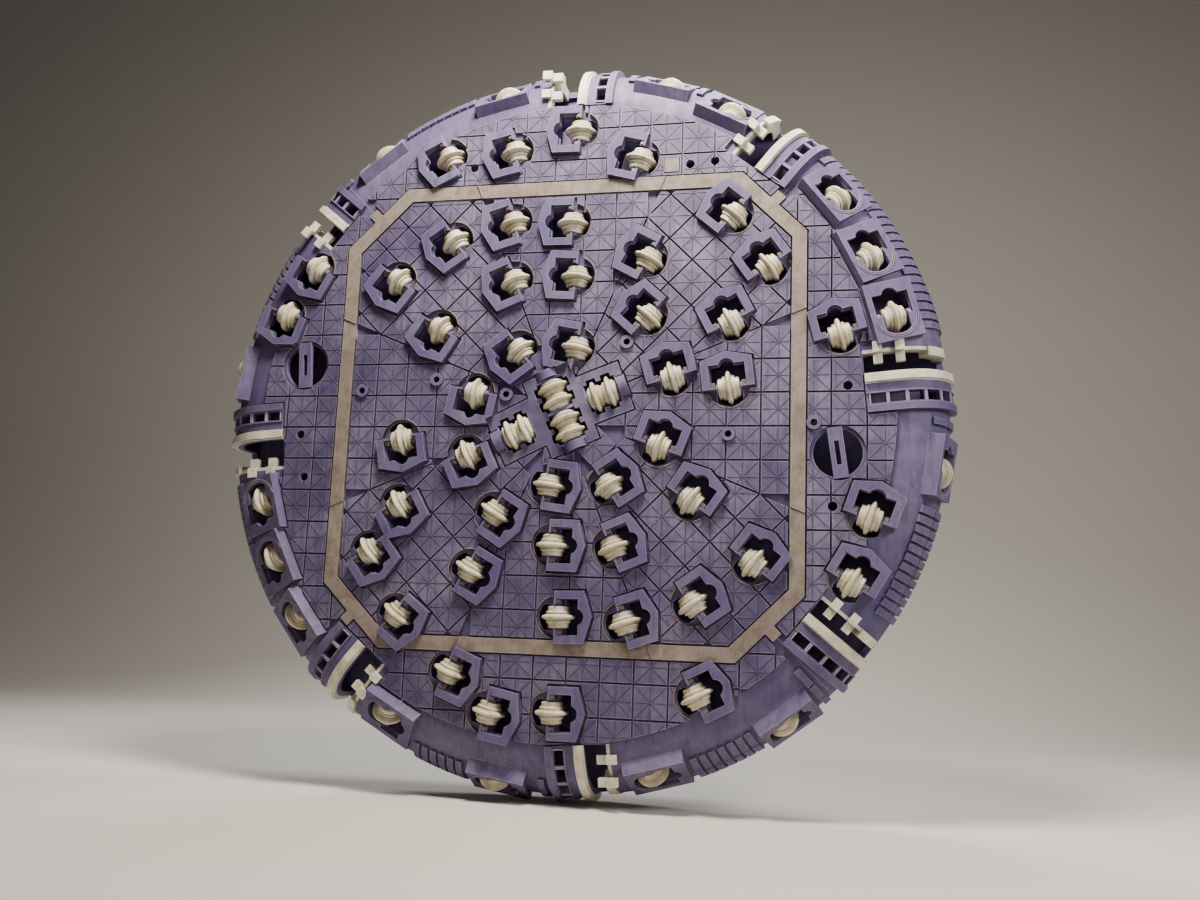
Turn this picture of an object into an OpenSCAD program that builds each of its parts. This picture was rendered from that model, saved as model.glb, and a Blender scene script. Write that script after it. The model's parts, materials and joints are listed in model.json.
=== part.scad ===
// Tunnel boring machine cutterhead for hard rock, with its main bearing ring.
// Every solid is drawn with the head's axis along +Z and its face looking up,
// and then laid over so that the face looks along -Y and the mount face is at y = 0.

/* [Head] */
// Diameter cut by the gauge cutters
gauge_d = 9960; // [9600:10:10400]
// Reach of the gauge circle beyond the rim shell
gauge_over = 80; // [50:5:120]
// Height of the front plate's outer face above the mount face
face_z = 1880; // [1700:10:2100]
// Thickness of the front plate and the rim shell
shell_t = 80; // [50:5:120]
// Thickness of the rear plate
rear_t = 60; // [40:5:100]
// Height of the rear plate's back face above the mount face
rear_z = 900; // [850:10:1000]
// Radius of the rounded change from face to rim
corner_r = 650; // [500:10:750]
// Radius of the muck opening in the rear plate
hopper_r = 1900; // [1600:10:2000]
// Gap under everything that is welded or bolted on
seat_gap = 0.3; // [0.2:0.1:0.5]

/* [Segments] */
// Half width of the octagonal centre segment, axis to flat
octagon_a = 3040; // [3000:10:3150]
// Leg of the octagon's cut corners
octagon_c = 770; // [700:10:850]
// Thickness of the walls along the joints
wall_t = 60; // [40:5:90]
// Width of the cover strips on the joints
strip_w = 180; // [120:5:220]
// Thickness of the cover strips
strip_t = 55; // [30:5:70]
// Gap between two cover strips in a row
strip_gap = 8; // [5:1:15]
// Length of the strips on the joints between the outer segments
spoke_l = 220; // [150:10:300]
// Width of those strips
spoke_w = 140; // [100:5:180]
// Width of the passages for muck in the joint walls
passage_w = 420; // [300:10:500]
// Height of those passages
passage_h = 280; // [200:10:320]

/* [Wear plates] */
// Pitch of the square wear plates
tile_pitch = 430; // [380:10:500]
// Gap between wear plates
tile_gap = 26; // [16:2:40]
// Thickness of the wear plates
tile_t = 40; // [25:5:55]
// Gap between a wear plate and a cutter frame
tile_frame_gap = 30; // [20:2:50]
// Area below which a cut wear plate is left out
tile_least = 20000; // [10000:1000:40000]
// Width below which a cut wear plate is left out
tile_side_least = 60; // [30:5:100]

/* [Cutters] */
// Diameter of the cutter rings
ring_d = 432; // [394:1:483]
// Width of the ring's tip
ring_tip_w = 18; // [12:1:30]
// Width of the ring's body
ring_w = 76; // [60:2:90]
// Depth of the ring below its tip
ring_h = 52; // [35:1:60]
// Length of a single cutter's hub
hub_l = 280; // [260:2:300]
// Width of the flanges that hold a ring on its hub
flange_band = 42; // [30:2:48]
// Diameter of the hub at its ends
hub_end_d = 268; // [240:2:280]
// Diameter of the cutter shafts
shaft_d = 150; // [120:1:160]
// Running gap round a shaft
shaft_gap = 0.05; // [0.02:0.01:0.1]
// Height of the cutter tips above the front plate
tip_h = 170; // [150:5:190]
// Pitch of the two rings of a centre twin
twin_pitch = 200; // [190:2:220]
// Length of a centre twin's hub
twin_l = 400; // [380:2:410]
// Gap between a twin and the edge of its opening
twin_gap = 28; // [20:1:35]
// Thickness of the saddle plates beside the twins
twin_saddle_t = 19; // [15:1:22]
// Width of the plate round a twin's opening
twin_margin = 90; // [60:5:110]
// Diameter of the round caps at the ends of the twins
twin_cap_d = 330; // [280:5:350]
// Length of the round caps
twin_cap_l = 110; // [80:5:140]

/* [Cutter openings] */
// Gap between a ring and the round end of its opening
ring_gap = 26; // [20:1:35]
// Gap between a hub and the sides of its opening
slot_gap = 22; // [15:1:30]
// Half width of the loading recess
recess_hw = 230; // [220:2:245]
// Length of the loading recess from the cutter's middle
recess_l = 285; // [270:5:310]
// Reach of the recess's round bay, which lets the ring pass, beyond its flat end
bay_l = 73; // [60:1:85]
// Radius of that bay
bay_r = 105; // [90:1:120]
// Half width of the raised frame
frame_hw = 328; // [315:2:350]
// Length of the raised frame's sides from the cutter's middle
frame_side = 355; // [340:5:370]
// Length of the raised frame to its tip
frame_l = 455; // [440:5:480]
// Drop of a cutter that would lean all the way
gauge_drop = 500; // [400:10:600]
// Half width of a leaning cutter's box
gauge_hw = 300; // [290:5:340]
// Length of a leaning cutter's box ahead of the cutter's middle
gauge_l = 450; // [430:5:480]
// Length of a leaning cutter's box behind the cutter's middle
gauge_back = 310; // [300:5:330]
// Depth of a leaning cutter's box below the cutter's middle
gauge_deep = 330; // [320:5:380]
// Height of a leaning cutter's box above the cutter's middle
gauge_up = 140; // [130:5:160]
// Start of the raised frame behind the cutter's middle
frame_back = 25; // [10:5:60]
// Height of the raised frame above the front plate
frame_t = 110; // [80:5:130]
// Depth of the cutter housings behind the front plate
housing_h = 360; // [330:10:420]
// Thickness of the housing walls
housing_t = 50; // [30:5:60]
// Width of a saddle block along the shaft
saddle_w = 72; // [66:1:78]
// Length of a saddle block across the shaft
saddle_l = 190; // [170:5:230]
// Height of a saddle block
saddle_h = 160; // [140:5:200]

/* [Buckets] */
// Width of a bucket lip
lip_w = 130; // [100:5:160]
// Height of a bucket lip above the shell
lip_h = 78; // [60:2:80]
// Height of a lip's foot
lip_foot_h = 46; // [30:2:55]
// Step in from a lip's foot to its crest
lip_step = 20; // [10:2:30]
// Width of the window plate behind a lip, with its flange bar
grid_w = 360; // [340:10:400]
// Height of the window plate above the shell
grid_h = 34; // [25:1:45]
// Width of the flange bar behind the windows
bar_back_w = 85; // [60:5:100]
// Height of the flange bar above the shell
bar_back_h = 72; // [50:2:78]
// Width of the rails along the windows
rail_w = 16; // [10:1:20]
// Height of those rails above the shell
rail_h = 54; // [40:2:60]
// Pitch of the windows along the plate
window_pitch = 225; // [200:5:260]
// Length of a window along the plate
window_l = 185; // [150:5:195]
// Width of a window across the plate
window_w = 130; // [110:5:140]
// Width of the teeth on the far edge of a muck opening
tooth_w = 110; // [80:5:130]
// Reach of the teeth over the muck opening
tooth_out = 170; // [120:10:200]
// Seat of the teeth on the face beside the opening
tooth_seat = 90; // [60:5:110]
// Height of the teeth above the shell
tooth_h = 55; // [40:5:70]
// Depth of the teeth below the shell's face
tooth_deep = 110; // [80:5:130]
// Thickness of the liner on the far wall of an opening
liner_t = 40; // [25:5:50]
// Depth of that liner below the face
liner_h = 150; // [120:10:200]
// Reach of the corner block into the opening
heel_w = 110; // [80:5:130]
// Start of the corner block below the flat face, along the corner
heel_from = 420; // [350:10:500]
// Length of the corner block along the corner
heel_l = 330; // [250:10:400]
// Rise of the corner block above the shell
heel_h = 30; // [10:2:50]

/* [Rim] */
// Height of the wear ribs above the shell
rib_h = 40; // [25:5:45]
// Length of the wear ribs below the corner
rib_down = 150; // [100:10:250]
// First angle at which the ribs reach in towards the face
rib_long_from = 285; // [270:5:300]
// Last angle of those long ribs
rib_long_to = 350; // [340:5:355]
// Pitch of the wear ribs round the rim
rib_pitch = 128; // [115:1:150]
// Width of a wear rib
rib_w = 84; // [60:2:95]
// Distance from the flat face at which the ribs start
rib_start = 150; // [100:10:300]
// Length of a rib's blocks on the corner
rib_block = 250; // [200:10:300]
// Gap between the blocks of a rib
rib_gap = 24; // [15:1:35]

/* [Openings in the face] */
// Diameter of the manholes
manhole_d = 600; // [560:10:640]
// Face left free round a manhole
manhole_margin = 45; // [30:5:60]
// Width of the bar across a manhole
bar_w = 180; // [140:5:220]
// Thickness of the bar across a manhole
bar_t = 50; // [30:5:60]
// Reach of that bar beyond the manhole
bar_over = 15; // [10:1:30]
// Outer diameter of a nozzle ring
nozzle_d = 170; // [150:5:200]
// Bore of a nozzle ring
nozzle_bore = 90; // [60:5:110]
// Face left free round a nozzle ring
nozzle_margin = 10; // [5:1:20]
// Height of a nozzle ring above the front plate
nozzle_h = 75; // [60:5:95]
// Diameter of the plain holes
port_d = 120; // [90:5:140]
// Side of the square pads
pad_w = 190; // [150:5:230]
// Thickness of the square pads
pad_t = 50; // [30:5:70]

/* [Drive] */
// Outer diameter of the fixed bearing ring
bearing_d = 6400; // [6200:10:6600]
// Width of the fixed bearing ring, from bore to rim
bearing_w = 440; // [400:5:480]
// Height of the fixed bearing ring
bearing_h = 420; // [360:10:440]
// Distance of the mounting bolts from the ring's rim
bolt_edge = 170; // [120:5:200]
// Number of mounting bolts
bolt_n = 60; // [36:4:72]
// Diameter of the mounting bolt holes
bolt_d = 52; // [40:1:60]
// Running gap at the bearing's race
race_gap = 0.3; // [0.2:0.05:0.5]
// Height of the race
race_h = 160; // [120:10:200]
// Clearance of the turning ring beside the race
rotor_gap = 12; // [6:1:20]
// Clearance below the turning ring
rotor_lift = 30; // [20:1:40]
// Width of the turning ring, from bore to race
rotor_w = 510; // [450:5:560]
// Reach of the drive flange beyond the torque tube
flange_over = 300; // [200:10:350]
// Thickness of the drive flange
flange_t = 90; // [60:5:120]
// Clearance between the drive flange and the fixed ring
flange_gap = 50; // [20:5:60]
// Outer diameter of the torque tube
torque_d = 5300; // [5100:10:5400]
// Wall of the torque tube
torque_t = 90; // [60:5:120]
// Thickness of the muck chute plates
chute_t = 50; // [30:5:60]
// Number of gussets on the torque tube
gusset_n = 24; // [16:4:32]
// Thickness of the gussets
gusset_t = 40; // [30:5:60]
// Reach of the gussets along the rear plate
gusset_foot = 260; // [200:10:300]

/* [Hidden] */
$fn = 96;
// Facets of the rim's large circles, where small pieces are cut by them
rim_fn = 360;
eps = 1;
// Gauge diameter that the tables and the octagon are drawn for, and the share they spread by
drawn_d = 9960;
spread = gauge_d / drawn_d;
gauge_r = gauge_d / 2;
rim_r = gauge_r - gauge_over;
flat_r = rim_r - corner_r;
corner_z = face_z - corner_r;
plate_z = face_z - shell_t;
rear_top = rear_z + rear_t;
wall_z = rear_top + seat_gap;
housing_z = plate_z - housing_h;
seat_z = face_z + seat_gap;
side_a = octagon_a * spread;
side_c = octagon_c * spread;
corner_a = (2 * side_a - side_c) / sqrt(2);
ring_r = ring_d / 2;
shaft_r = shaft_d / 2;
cutter_z = face_z + tip_h - ring_r;
shoulder_r = ring_r - ring_h - 6;
// Rounding of a ring's tip, groove between ring and flange, slope of the flange and of the hub's ends
tip_round = 8;
groove_w = 10;
groove_h = 12;
flange_slope = 11;
hub_slope = 12;
open_r = ring_r + ring_gap;
slot_hw = hub_l / 2 + slot_gap;
pocket_hw = recess_hw - 5;
saddle_top = plate_z - seat_gap - cutter_z;
bearing_bore = bearing_d - 2 * bearing_w;
bolt_pcd = bearing_d - 2 * bolt_edge;
rotor_bore = bearing_bore - 2 * rotor_w;
flange_d = torque_d + 2 * flange_over;
flange_z = bearing_h + flange_gap;
plate_w = grid_w - bar_back_w;
window_v = lip_w / 2 + plate_w - rail_w - 2 * eps - window_w / 2;
bucket_foot = rear_top + 60;
// Room in a housing round a cutter's opening
housing_room = 10;
// Angles: half a sector of wear plates, and how far to either side the segments, buckets, boxes,
// frames and ribs look for what stands beside them
half_angle = 22.5;
segment_reach = 57;
bucket_reach = 25;
box_reach = 20;
frame_reach = 9;
rib_reach = 8;
// Angles from a bucket's and from a box's middle between which no ribs stand, and the least lean
// of such a box
BUCKET_FREE = [-6.5, 7.5];
BOX_FREE = [-4.8, 6.5];
box_lean = 35;

// Spreads the first column of a table, a distance from the axis
function spread_out(list) = [for (c = list) [c[0] * spread, for (i = [1:1:len(c) - 1]) c[i]]];
// Spreads the first two columns of a table, a place on the face
function spread_flat(list) = [for (c = list) [c[0] * spread, c[1] * spread, for (i = [2:1:len(c) - 1]) c[i]]];

// Cutters on the centre segment: radius, angle
CENTRE_CUTTERS = spread_out([
    [850, 78.5], [990, 262.5], [1010, 126.5], [1185, 304], [1205, 168.5], [1380, 205],
    [1380, 340], [1510, 16.5], [1585, 238], [1665, 48], [1755, 268.5], [1805, 86],
    [1910, 112], [1925, 293], [2070, 147], [2070, 326], [2195, 7.5], [2215, 190],
    [2295, 61.5], [2380, 241.5], [2460, 27.5], [2500, 210], [2550, 89], [2660, 271.5],
    [2700, 106.5], [2845, 124], [2860, 289], [3000, 142.5], [3020, 306], [3155, 216.5],
    [3155, 322.5], [3240, 35], [3380, 49.5], [3415, 232]
]);
// Cutters on the flat part of the outer segments: radius, angle
OUTER_CUTTERS = spread_out([
    [3535, 74.5], [3645, 248.5], [3670, 15], [3690, 102.5], [3840, 270.5], [3855, 88.5], [3955, 258.5],
    [3975, 116], [4008, 297.5], [4125, 341], [4145, 150.5], [4230, 161], [4250, 330]
]);
// Cutters on the rounded corner: radius, angle, lean outwards
GAUGE_CUTTERS = spread_out([
    [4336, 15.5, 13], [4318, 196.5, 18], [4350, 26.5, 22], [4381, 207, 26], [4433, 38, 31], [4475, 218, 36],
    [4497, 241, 40], [4528, 62, 45], [4560, 102.5, 50], [4606, 126.5, 54], [4632, 74, 58], [4663, 286, 60],
    [4688, 172, 62], [4724, 261, 65], [4739, 307, 67], [4749, 351, 70]
]);
// Centre twins: radius of the middle, angle of the axis
TWIN_CUTTERS = [[590, 21], [640, 206.5], [228, 114], [228, 294]];
// Muck buckets: radius where they start, angle of the lip, width of the muck opening
BUCKETS = spread_out([
    [3860, 5.5, 300], [4030, 51.5, 380], [4230, 88.5, 420], [4130, 141, 300],
    [3930, 184.5, 420], [4000, 230.5, 360], [4230, 275.5, 320], [4050, 321, 260]
]);
// Manholes: x, y, lean of the bar
MANHOLES = spread_flat([[-3660, 650, 4], [3520, -550, 8]]);
// Nozzle rings: x, y
NOZZLES = spread_flat([[-2780, 280], [-1720, 420], [-740, 210], [850, 890], [2180, -320], [3230, -180]]);
// Plain holes: x, y
PORTS = spread_flat([
    [-1370, 3400], [1615, 3290], [1940, 3320], [3640, 290], [-3650, -320], [-3550, -900], [3460, -1210]
]);
// Square pads: x, y
PADS = spread_flat([[1370, 3290]]);
// Starts of the two teeth, from the start of a bucket
TEETH = [130, 400];

CENTRE_NAMES = [for (i = [0:len(CENTRE_CUTTERS) - 1]) str("cutter_", i + 10)];

BLUE = [0.42, 0.41, 0.58];
DARK = [0.27, 0.25, 0.38];
CREAM = [0.86, 0.84, 0.74];
BEIGE = [0.66, 0.57, 0.45];
STEEL = [0.5, 0.5, 0.52];

// Lays the upright head over so that its face looks along -Y
module laid() {
    rotate([90, 0, 0]) children();
}

// Places a flat cutter's frame: x outwards, y the way round, z out of the face
module at_cutter(c) {
    rotate([0, 0, c[1]]) translate([c[0], 0, cutter_z]) children();
}

// Places a leaning cutter's frame, which drops along the corner as it leans
module at_gauge(c) {
    rotate([0, 0, c[1]])
        translate([c[0], 0, cutter_z - gauge_drop * (1 - cos(c[2]))])
            rotate([0, c[2], 0]) children();
}

// Outline of the octagonal centre segment, moved outwards by grow
module octagon(grow = 0) {
    a = side_a + grow;
    c = side_c + grow * (2 - sqrt(2));
    polygon([[a, a - c], [a - c, a], [c - a, a], [-a, a - c],
             [-a, c - a], [c - a, -a], [a - c, -a], [a, c - a]]);
}

// Opening of a cutter in the face: close round the cutter, with a wider loading recess and its bay
module opening_outline() {
    intersection() {
        circle(r = open_r);
        square([2 * slot_hw, 2 * open_r], center = true);
    }
    translate([-recess_hw, 0]) square([2 * recess_hw, recess_l]);
    translate([0, recess_l + bay_l - bay_r]) circle(r = bay_r);
}

// Outer edge of a raised frame, which ends in a blunt tip
module frame_outline(grow = 0) {
    hw = frame_hw + grow;
    polygon([[-hw, -frame_back - grow], [-hw, frame_side + grow], [0, frame_l + grow],
             [hw, frame_side + grow], [hw, -frame_back - grow]]);
}

// Half of the outline of a ring with its flange: distance from the ring's middle, radius
RING_HALF = [
    [ring_tip_w / 2, ring_r], [ring_tip_w, ring_r - tip_round], [ring_w / 2, ring_r - ring_h],
    [ring_w / 2, shoulder_r - groove_h], [(ring_w + groove_w) / 2, shoulder_r - groove_h],
    [ring_w / 2 + groove_w, shoulder_r], [ring_w / 2 + flange_band - flange_slope, shoulder_r],
    [ring_w / 2 + flange_band, shoulder_r - 2 * flange_slope]
];
// Outline of a whole ring with its two flanges, centred at x
function ring_points(x) = concat(
    [for (i = [len(RING_HALF) - 1:-1:0]) [x - RING_HALF[i][0], RING_HALF[i][1]]],
    [for (p = RING_HALF) [x + p[0], p[1]]]);

// Turned body of a cutter with rings at the places in rings, its shaft along x
module cutter(rings, length) {
    half = length / 2;
    end_r = hub_end_d / 2;
    bore_r = shaft_r + shaft_gap;
    rotate([0, 90, 0]) rotate_extrude()
        polygon(concat(
            [[bore_r, -half], [end_r - 2 * hub_slope, -half], [end_r, hub_slope - half]],
            [for (x = rings) each [for (p = ring_points(x)) [p[1], p[0]]]],
            [[end_r, half - hub_slope], [end_r - 2 * hub_slope, half], [bore_r, half]]));
}

module single_cutter() {
    cutter([0], hub_l);
}

module twin_cutter() {
    cutter([-twin_pitch / 2, twin_pitch / 2], twin_l);
}

// Main bearing's fixed ring, bolted to the shield by the holes in its back
module bearing_ring() {
    color(STEEL) laid() difference() {
        cylinder(d = bearing_d, h = bearing_h);
        translate([0, 0, -eps]) cylinder(d = bearing_bore, h = bearing_h + 2 * eps);
        for (i = [0:bolt_n - 1])
            rotate([0, 0, i * 360 / bolt_n]) translate([bolt_pcd / 2, 0, -eps])
                cylinder(d = bolt_d, h = bearing_h + 2 * eps);
    }
}

// Turning ring inside the fixed ring, with the race and the drive flange
module rotor_ring() {
    race_r = bearing_bore / 2 - race_gap;
    side_r = bearing_bore / 2 - rotor_gap;
    race_z = (bearing_h - race_h) / 2;
    color(STEEL) laid() rotate_extrude()
        polygon([[rotor_bore / 2, rotor_lift], [side_r, rotor_lift], [side_r, race_z], [race_r, race_z],
                 [race_r, race_z + race_h], [side_r, race_z + race_h], [side_r, flange_z],
                 [flange_d / 2, flange_z], [flange_d / 2, flange_z + flange_t],
                 [rotor_bore / 2, flange_z + flange_t]]);
}

// Torque tube from the drive flange to the rear plate, with its gussets
module torque_tube() {
    z0 = flange_z + flange_t + seat_gap;
    h = rear_z - z0 - seat_gap;
    root = (torque_d - torque_t) / 2;
    color(BLUE) laid() difference() {
        union() {
            translate([0, 0, z0]) cylinder(d = torque_d, h = h);
            for (i = [0:gusset_n - 1])
                rotate([0, 0, (i + 0.5) * 360 / gusset_n])
                    rotate([90, 0, 0]) translate([0, 0, -gusset_t / 2]) linear_extrude(gusset_t)
                        polygon([[root, z0], [(flange_d - flange_t) / 2, z0],
                                 [torque_d / 2 + gusset_foot, z0 + h], [root, z0 + h]]);
        }
        translate([0, 0, z0 - eps]) cylinder(d = torque_d - 2 * torque_t, h = h + 2 * eps);
    }
}

// Openings of all cutters on the flat face, as outlines
module flat_openings(list) {
    for (c = list) rotate([0, 0, c[1]]) translate([c[0], 0]) opening_outline();
}

// Openings of the twins, which follow hubs and rings
module twin_openings() {
    for (c = TWIN_CUTTERS) rotate([0, 0, c[1]]) translate([c[0], 0]) {
        square([twin_l + 2 * twin_gap, 2 * (shoulder_r + twin_gap)], center = true);
        for (s = [-1, 1]) translate([s * twin_pitch / 2, 0])
            square([ring_w + 2 * twin_gap, ring_d + 2 * twin_gap], center = true);
    }
}

// Plates round the twins
module twin_plate_outlines(grow = 0) {
    side = twin_gap + twin_margin + grow;
    for (c = TWIN_CUTTERS) rotate([0, 0, c[1]]) translate([c[0], 0])
        square([twin_l + 2 * side, ring_d + 2 * side], center = true);
}

// Footprints of the round caps at the outer ends of the twins
module twin_cap_outlines(grow = 0) {
    rise = face_z - cutter_z;
    half = sqrt(pow(twin_cap_d / 2, 2) - rise * rise);
    for (c = TWIN_CUTTERS) rotate([0, 0, c[1]])
        translate([c[0] + twin_l / 2 + twin_gap - grow, -half - grow])
            square([twin_cap_l + 2 * grow, 2 * (half + grow)]);
}

// Everything of the twins that stands on the face
module twin_footprint(grow = 0) {
    twin_plate_outlines(grow);
    twin_cap_outlines(grow);
}

module face_holes() {
    for (m = MANHOLES) translate([m[0], m[1]]) circle(d = manhole_d);
    for (p = PORTS) translate(p) circle(d = port_d);
    for (p = NOZZLES) translate(p) circle(d = nozzle_bore);
}

// Octagonal centre segment: front plate and joint walls
module centre_segment() {
    color(BLUE) laid() {
        translate([0, 0, plate_z]) linear_extrude(shell_t) difference() {
            octagon();
            flat_openings(CENTRE_CUTTERS);
            twin_openings();
            face_holes();
        }
        difference() {
            translate([0, 0, wall_z]) linear_extrude(plate_z - wall_z - seat_gap) difference() {
                octagon();
                octagon(-wall_t);
            }
            for (b = BUCKETS) rotate([0, 0, b[1]])
                translate([side_a / 2, lip_w / 2, wall_z + wall_t]) cube([side_a, passage_w, passage_h]);
        }
    }
}

// Rear plates: the ring round the muck opening and the four plates inside the rim
module rear_plates() {
    color(BLUE) laid() translate([0, 0, rear_z]) linear_extrude(rear_t) difference() {
        circle(r = rim_r - shell_t - seat_gap);
        circle(r = hopper_r);
        difference() {
            octagon(seat_gap);
            octagon();
        }
        for (a = [45:90:315]) rotate([0, 0, a])
            translate([side_a, -seat_gap / 2]) square([rim_r, seat_gap]);
    }
}

// Everything inside the shell's outer face, moved outwards by off
module section_inside(off = 0) {
    translate([0, rear_z]) square([rim_r + off, corner_z - rear_z]);
    translate([0, rear_z]) square([flat_r, face_z + off - rear_z]);
    intersection() {
        translate([flat_r, corner_z]) circle(r = corner_r + off);
        translate([flat_r - eps, corner_z - eps]) square(corner_r + off + 2 * eps);
    }
}

// Strip along the shell from low to high above its outer face, from radius r0 down to height end_z
module section_strip(r0, low, high, end_z) {
    intersection() {
        difference() {
            section_inside(high);
            section_inside(low);
        }
        translate([r0, end_z]) square([rim_r, face_z]);
    }
}

// A piece of that strip, width wide and starting v round from the middle of bucket b
module bucket_strip(b, v, width, low, high, end_z) {
    rotate([0, 0, b[1]]) translate([0, v + width, 0]) rotate([90, 0, 0])
        linear_extrude(width) section_strip(b[0], low, high, end_z);
}

// Places something on the shell at distance s along bucket b's section and v round from its middle
module on_section(b, s, v) {
    flat_l = flat_r - b[0];
    rotate([0, 0, b[1]]) translate([flat_r + min(s - flat_l, 0), v, corner_z])
        rotate([0, max(s - flat_l, 0) / corner_r * 180 / PI, 0]) translate([0, 0, corner_r]) children();
}

// Space of one muck opening, ahead of its lip
module bucket_space(b) {
    rotate([0, 0, b[1]]) translate([b[0], lip_w / 2, bucket_foot])
        cube([rim_r - b[0] + shell_t, b[2], face_z - rear_top]);
}

// Footprint of a whole bucket on the face, with the seats of its teeth beyond the far edge
module bucket_footprint(b, grow = 0, seats = 0) {
    rotate([0, 0, b[1]]) translate([b[0] - grow, -lip_w / 2 - grid_w - grow])
        square([rim_r, lip_w + grid_w + b[2] + 2 * grow + seats]);
}

// Windows behind a lip, in a row along the shell's section
module bucket_windows(b) {
    row_l = flat_r - b[0] + corner_r * PI / 2;
    for (i = [0:floor(row_l / window_pitch - 1)])
        on_section(b, window_pitch * (i + 0.62), -window_v)
            cube([window_l, window_w, 4 * shell_t], center = true);
}

// Outer block of a leaning cutter's box, which the shell is cut to
module gauge_block(c, grow = 0) {
    at_gauge(c) translate([-gauge_hw - grow, -gauge_back - grow, -gauge_deep - grow])
        cube([2 * (gauge_hw + grow), gauge_back + gauge_l + 2 * grow, gauge_deep + gauge_up + 2 * grow]);
}

// Boxes that hold the leaning cutters of the corner, with their shafts
module gauge_boxes() {
    inner_l = gauge_back + gauge_l - 2 * housing_t;
    inner_h = gauge_deep + gauge_up - 2 * housing_t;
    color(BLUE) laid() for (c = GAUGE_CUTTERS) {
        difference() {
            gauge_block(c);
            at_gauge(c) {
                translate([-pocket_hw, housing_t - gauge_back, housing_t - gauge_deep])
                    cube([2 * pocket_hw, inner_l, inner_h]);
                translate([0, 0, gauge_up - 1.5 * housing_t]) linear_extrude(2 * housing_t) opening_outline();
            }
        }
        at_gauge(c) cutter_shaft(pocket_hw + eps);
    }
}

// Angle from direction b to direction a, between -180 and 180
function turn_between(a, b) = ((a - b + 900) % 360) - 180;
function angle_between(a, b) = abs(turn_between(a, b));
// Whether d lies between the two values of span
function within(d, span) = d > span[0] && d < span[1];
// Whether something at angle a can reach into the segment that starts at angle a0
function near_segment(a, a0) = angle_between(a, a0 + 45) < segment_reach;

// One outer segment, a quarter of the rim, from angle a0
module outer_segment(a0) {
    color(BLUE) laid() difference() {
        rotate([0, 0, a0]) rotate_extrude(angle = 90) difference() {
            section_inside();
            section_inside(-shell_t);
            square([side_a - side_c / 2, face_z + eps]);
        }
        translate([0, 0, rear_z - eps]) linear_extrude(face_z - rear_z + 2 * eps) octagon();
        translate([0, 0, plate_z - shell_t]) linear_extrude(2 * shell_t + eps) {
            flat_openings([for (c = OUTER_CUTTERS) if (near_segment(c[1], a0)) c]);
            flat_openings([for (c = CENTRE_CUTTERS)
                if (c[0] > side_a - frame_hw && near_segment(c[1], a0)) c]);
            face_holes();
        }
        for (c = OUTER_CUTTERS)
            if (near_segment(c[1], a0) && c[0] + pocket_hw > flat_r)
                at_cutter(c) saddle_blocks(pocket_hw, seat_gap);
        for (c = GAUGE_CUTTERS)
            if (near_segment(c[1], a0)) gauge_block(c, seat_gap);
        for (b = BUCKETS)
            if (near_segment(b[1], a0)) {
                bucket_space(b);
                bucket_windows(b);
            }
    }
}

// Radial plates that lead the muck to the middle, and the plate behind the cutters
module chute_plates() {
    plate_foot = housing_z - seat_gap - chute_t;
    color(DARK) laid() {
        translate([0, 0, plate_foot]) linear_extrude(chute_t) octagon(-wall_t - seat_gap);
        translate([0, 0, wall_z]) linear_extrude(plate_foot - seat_gap - wall_z) intersection() {
            octagon(-wall_t - seat_gap);
            for (b = BUCKETS) rotate([0, 0, b[1]])
                translate([hopper_r, -lip_w / 2 - chute_t]) square([rim_r, chute_t]);
        }
    }
}

module segment_right() { outer_segment(-45); }
module segment_top() { outer_segment(45); }
module segment_left() { outer_segment(135); }
module segment_bottom() { outer_segment(225); }

// Box walls behind the openings of the flat cutters
module cutter_housings() {
    back = open_r + 2 * housing_room;
    front = recess_l + bay_l + housing_room;
    list = concat(CENTRE_CUTTERS, OUTER_CUTTERS);
    color(DARK) laid() translate([0, 0, housing_z]) linear_extrude(housing_h - seat_gap) difference() {
        for (c = list) rotate([0, 0, c[1]])
            translate([c[0] - pocket_hw - housing_t, -back - housing_t])
                square([2 * (pocket_hw + housing_t), back + front + 2 * housing_t]);
        for (c = list) rotate([0, 0, c[1]])
            translate([c[0] - pocket_hw, -back]) square([2 * pocket_hw, back + front]);
        difference() {
            octagon(eps);
            octagon(-wall_t - eps);
        }
        for (b = BUCKETS) bucket_footprint(b, eps);
        difference() {
            circle(r = rim_r);
            circle(r = flat_r - tile_gap, $fn = rim_fn);
        }
    }
}

// Raised wear frames round the flat cutters, drawn down to the shell where it curves away
module cutter_frames() {
    list = concat(CENTRE_CUTTERS, OUTER_CUTTERS);
    color(BLUE) laid() {
        translate([0, 0, seat_z]) linear_extrude(frame_t) frames_outline(list);
        difference() {
            translate([0, 0, seat_z - frame_t]) linear_extrude(frame_t) intersection() {
                frames_outline(OUTER_CUTTERS);
                difference() {
                    circle(r = rim_r);
                    circle(r = flat_r + eps, $fn = rim_fn);
                }
            }
            rotate_extrude($fn = rim_fn) section_inside(seat_gap);
            for (c = GAUGE_CUTTERS) gauge_block(c, seat_gap);
        }
    }
}

// Outlines of the raised frames, cut back from everything that stands beside them
module frames_outline(list) {
    difference() {
        for (c = list) rotate([0, 0, c[1]]) translate([c[0], 0]) frame_outline();
        flat_openings(list);
        twin_footprint(seat_gap);
        for (m = MANHOLES) translate([m[0], m[1]]) circle(d = manhole_d + 2 * manhole_margin);
        for (q = NOZZLES) translate(q) circle(d = nozzle_d + 2 * nozzle_margin);
        for (b = BUCKETS) bucket_footprint(b, tile_gap);
        for (c = GAUGE_CUTTERS) gauge_footprint(c, tile_gap);
    }
}

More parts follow.
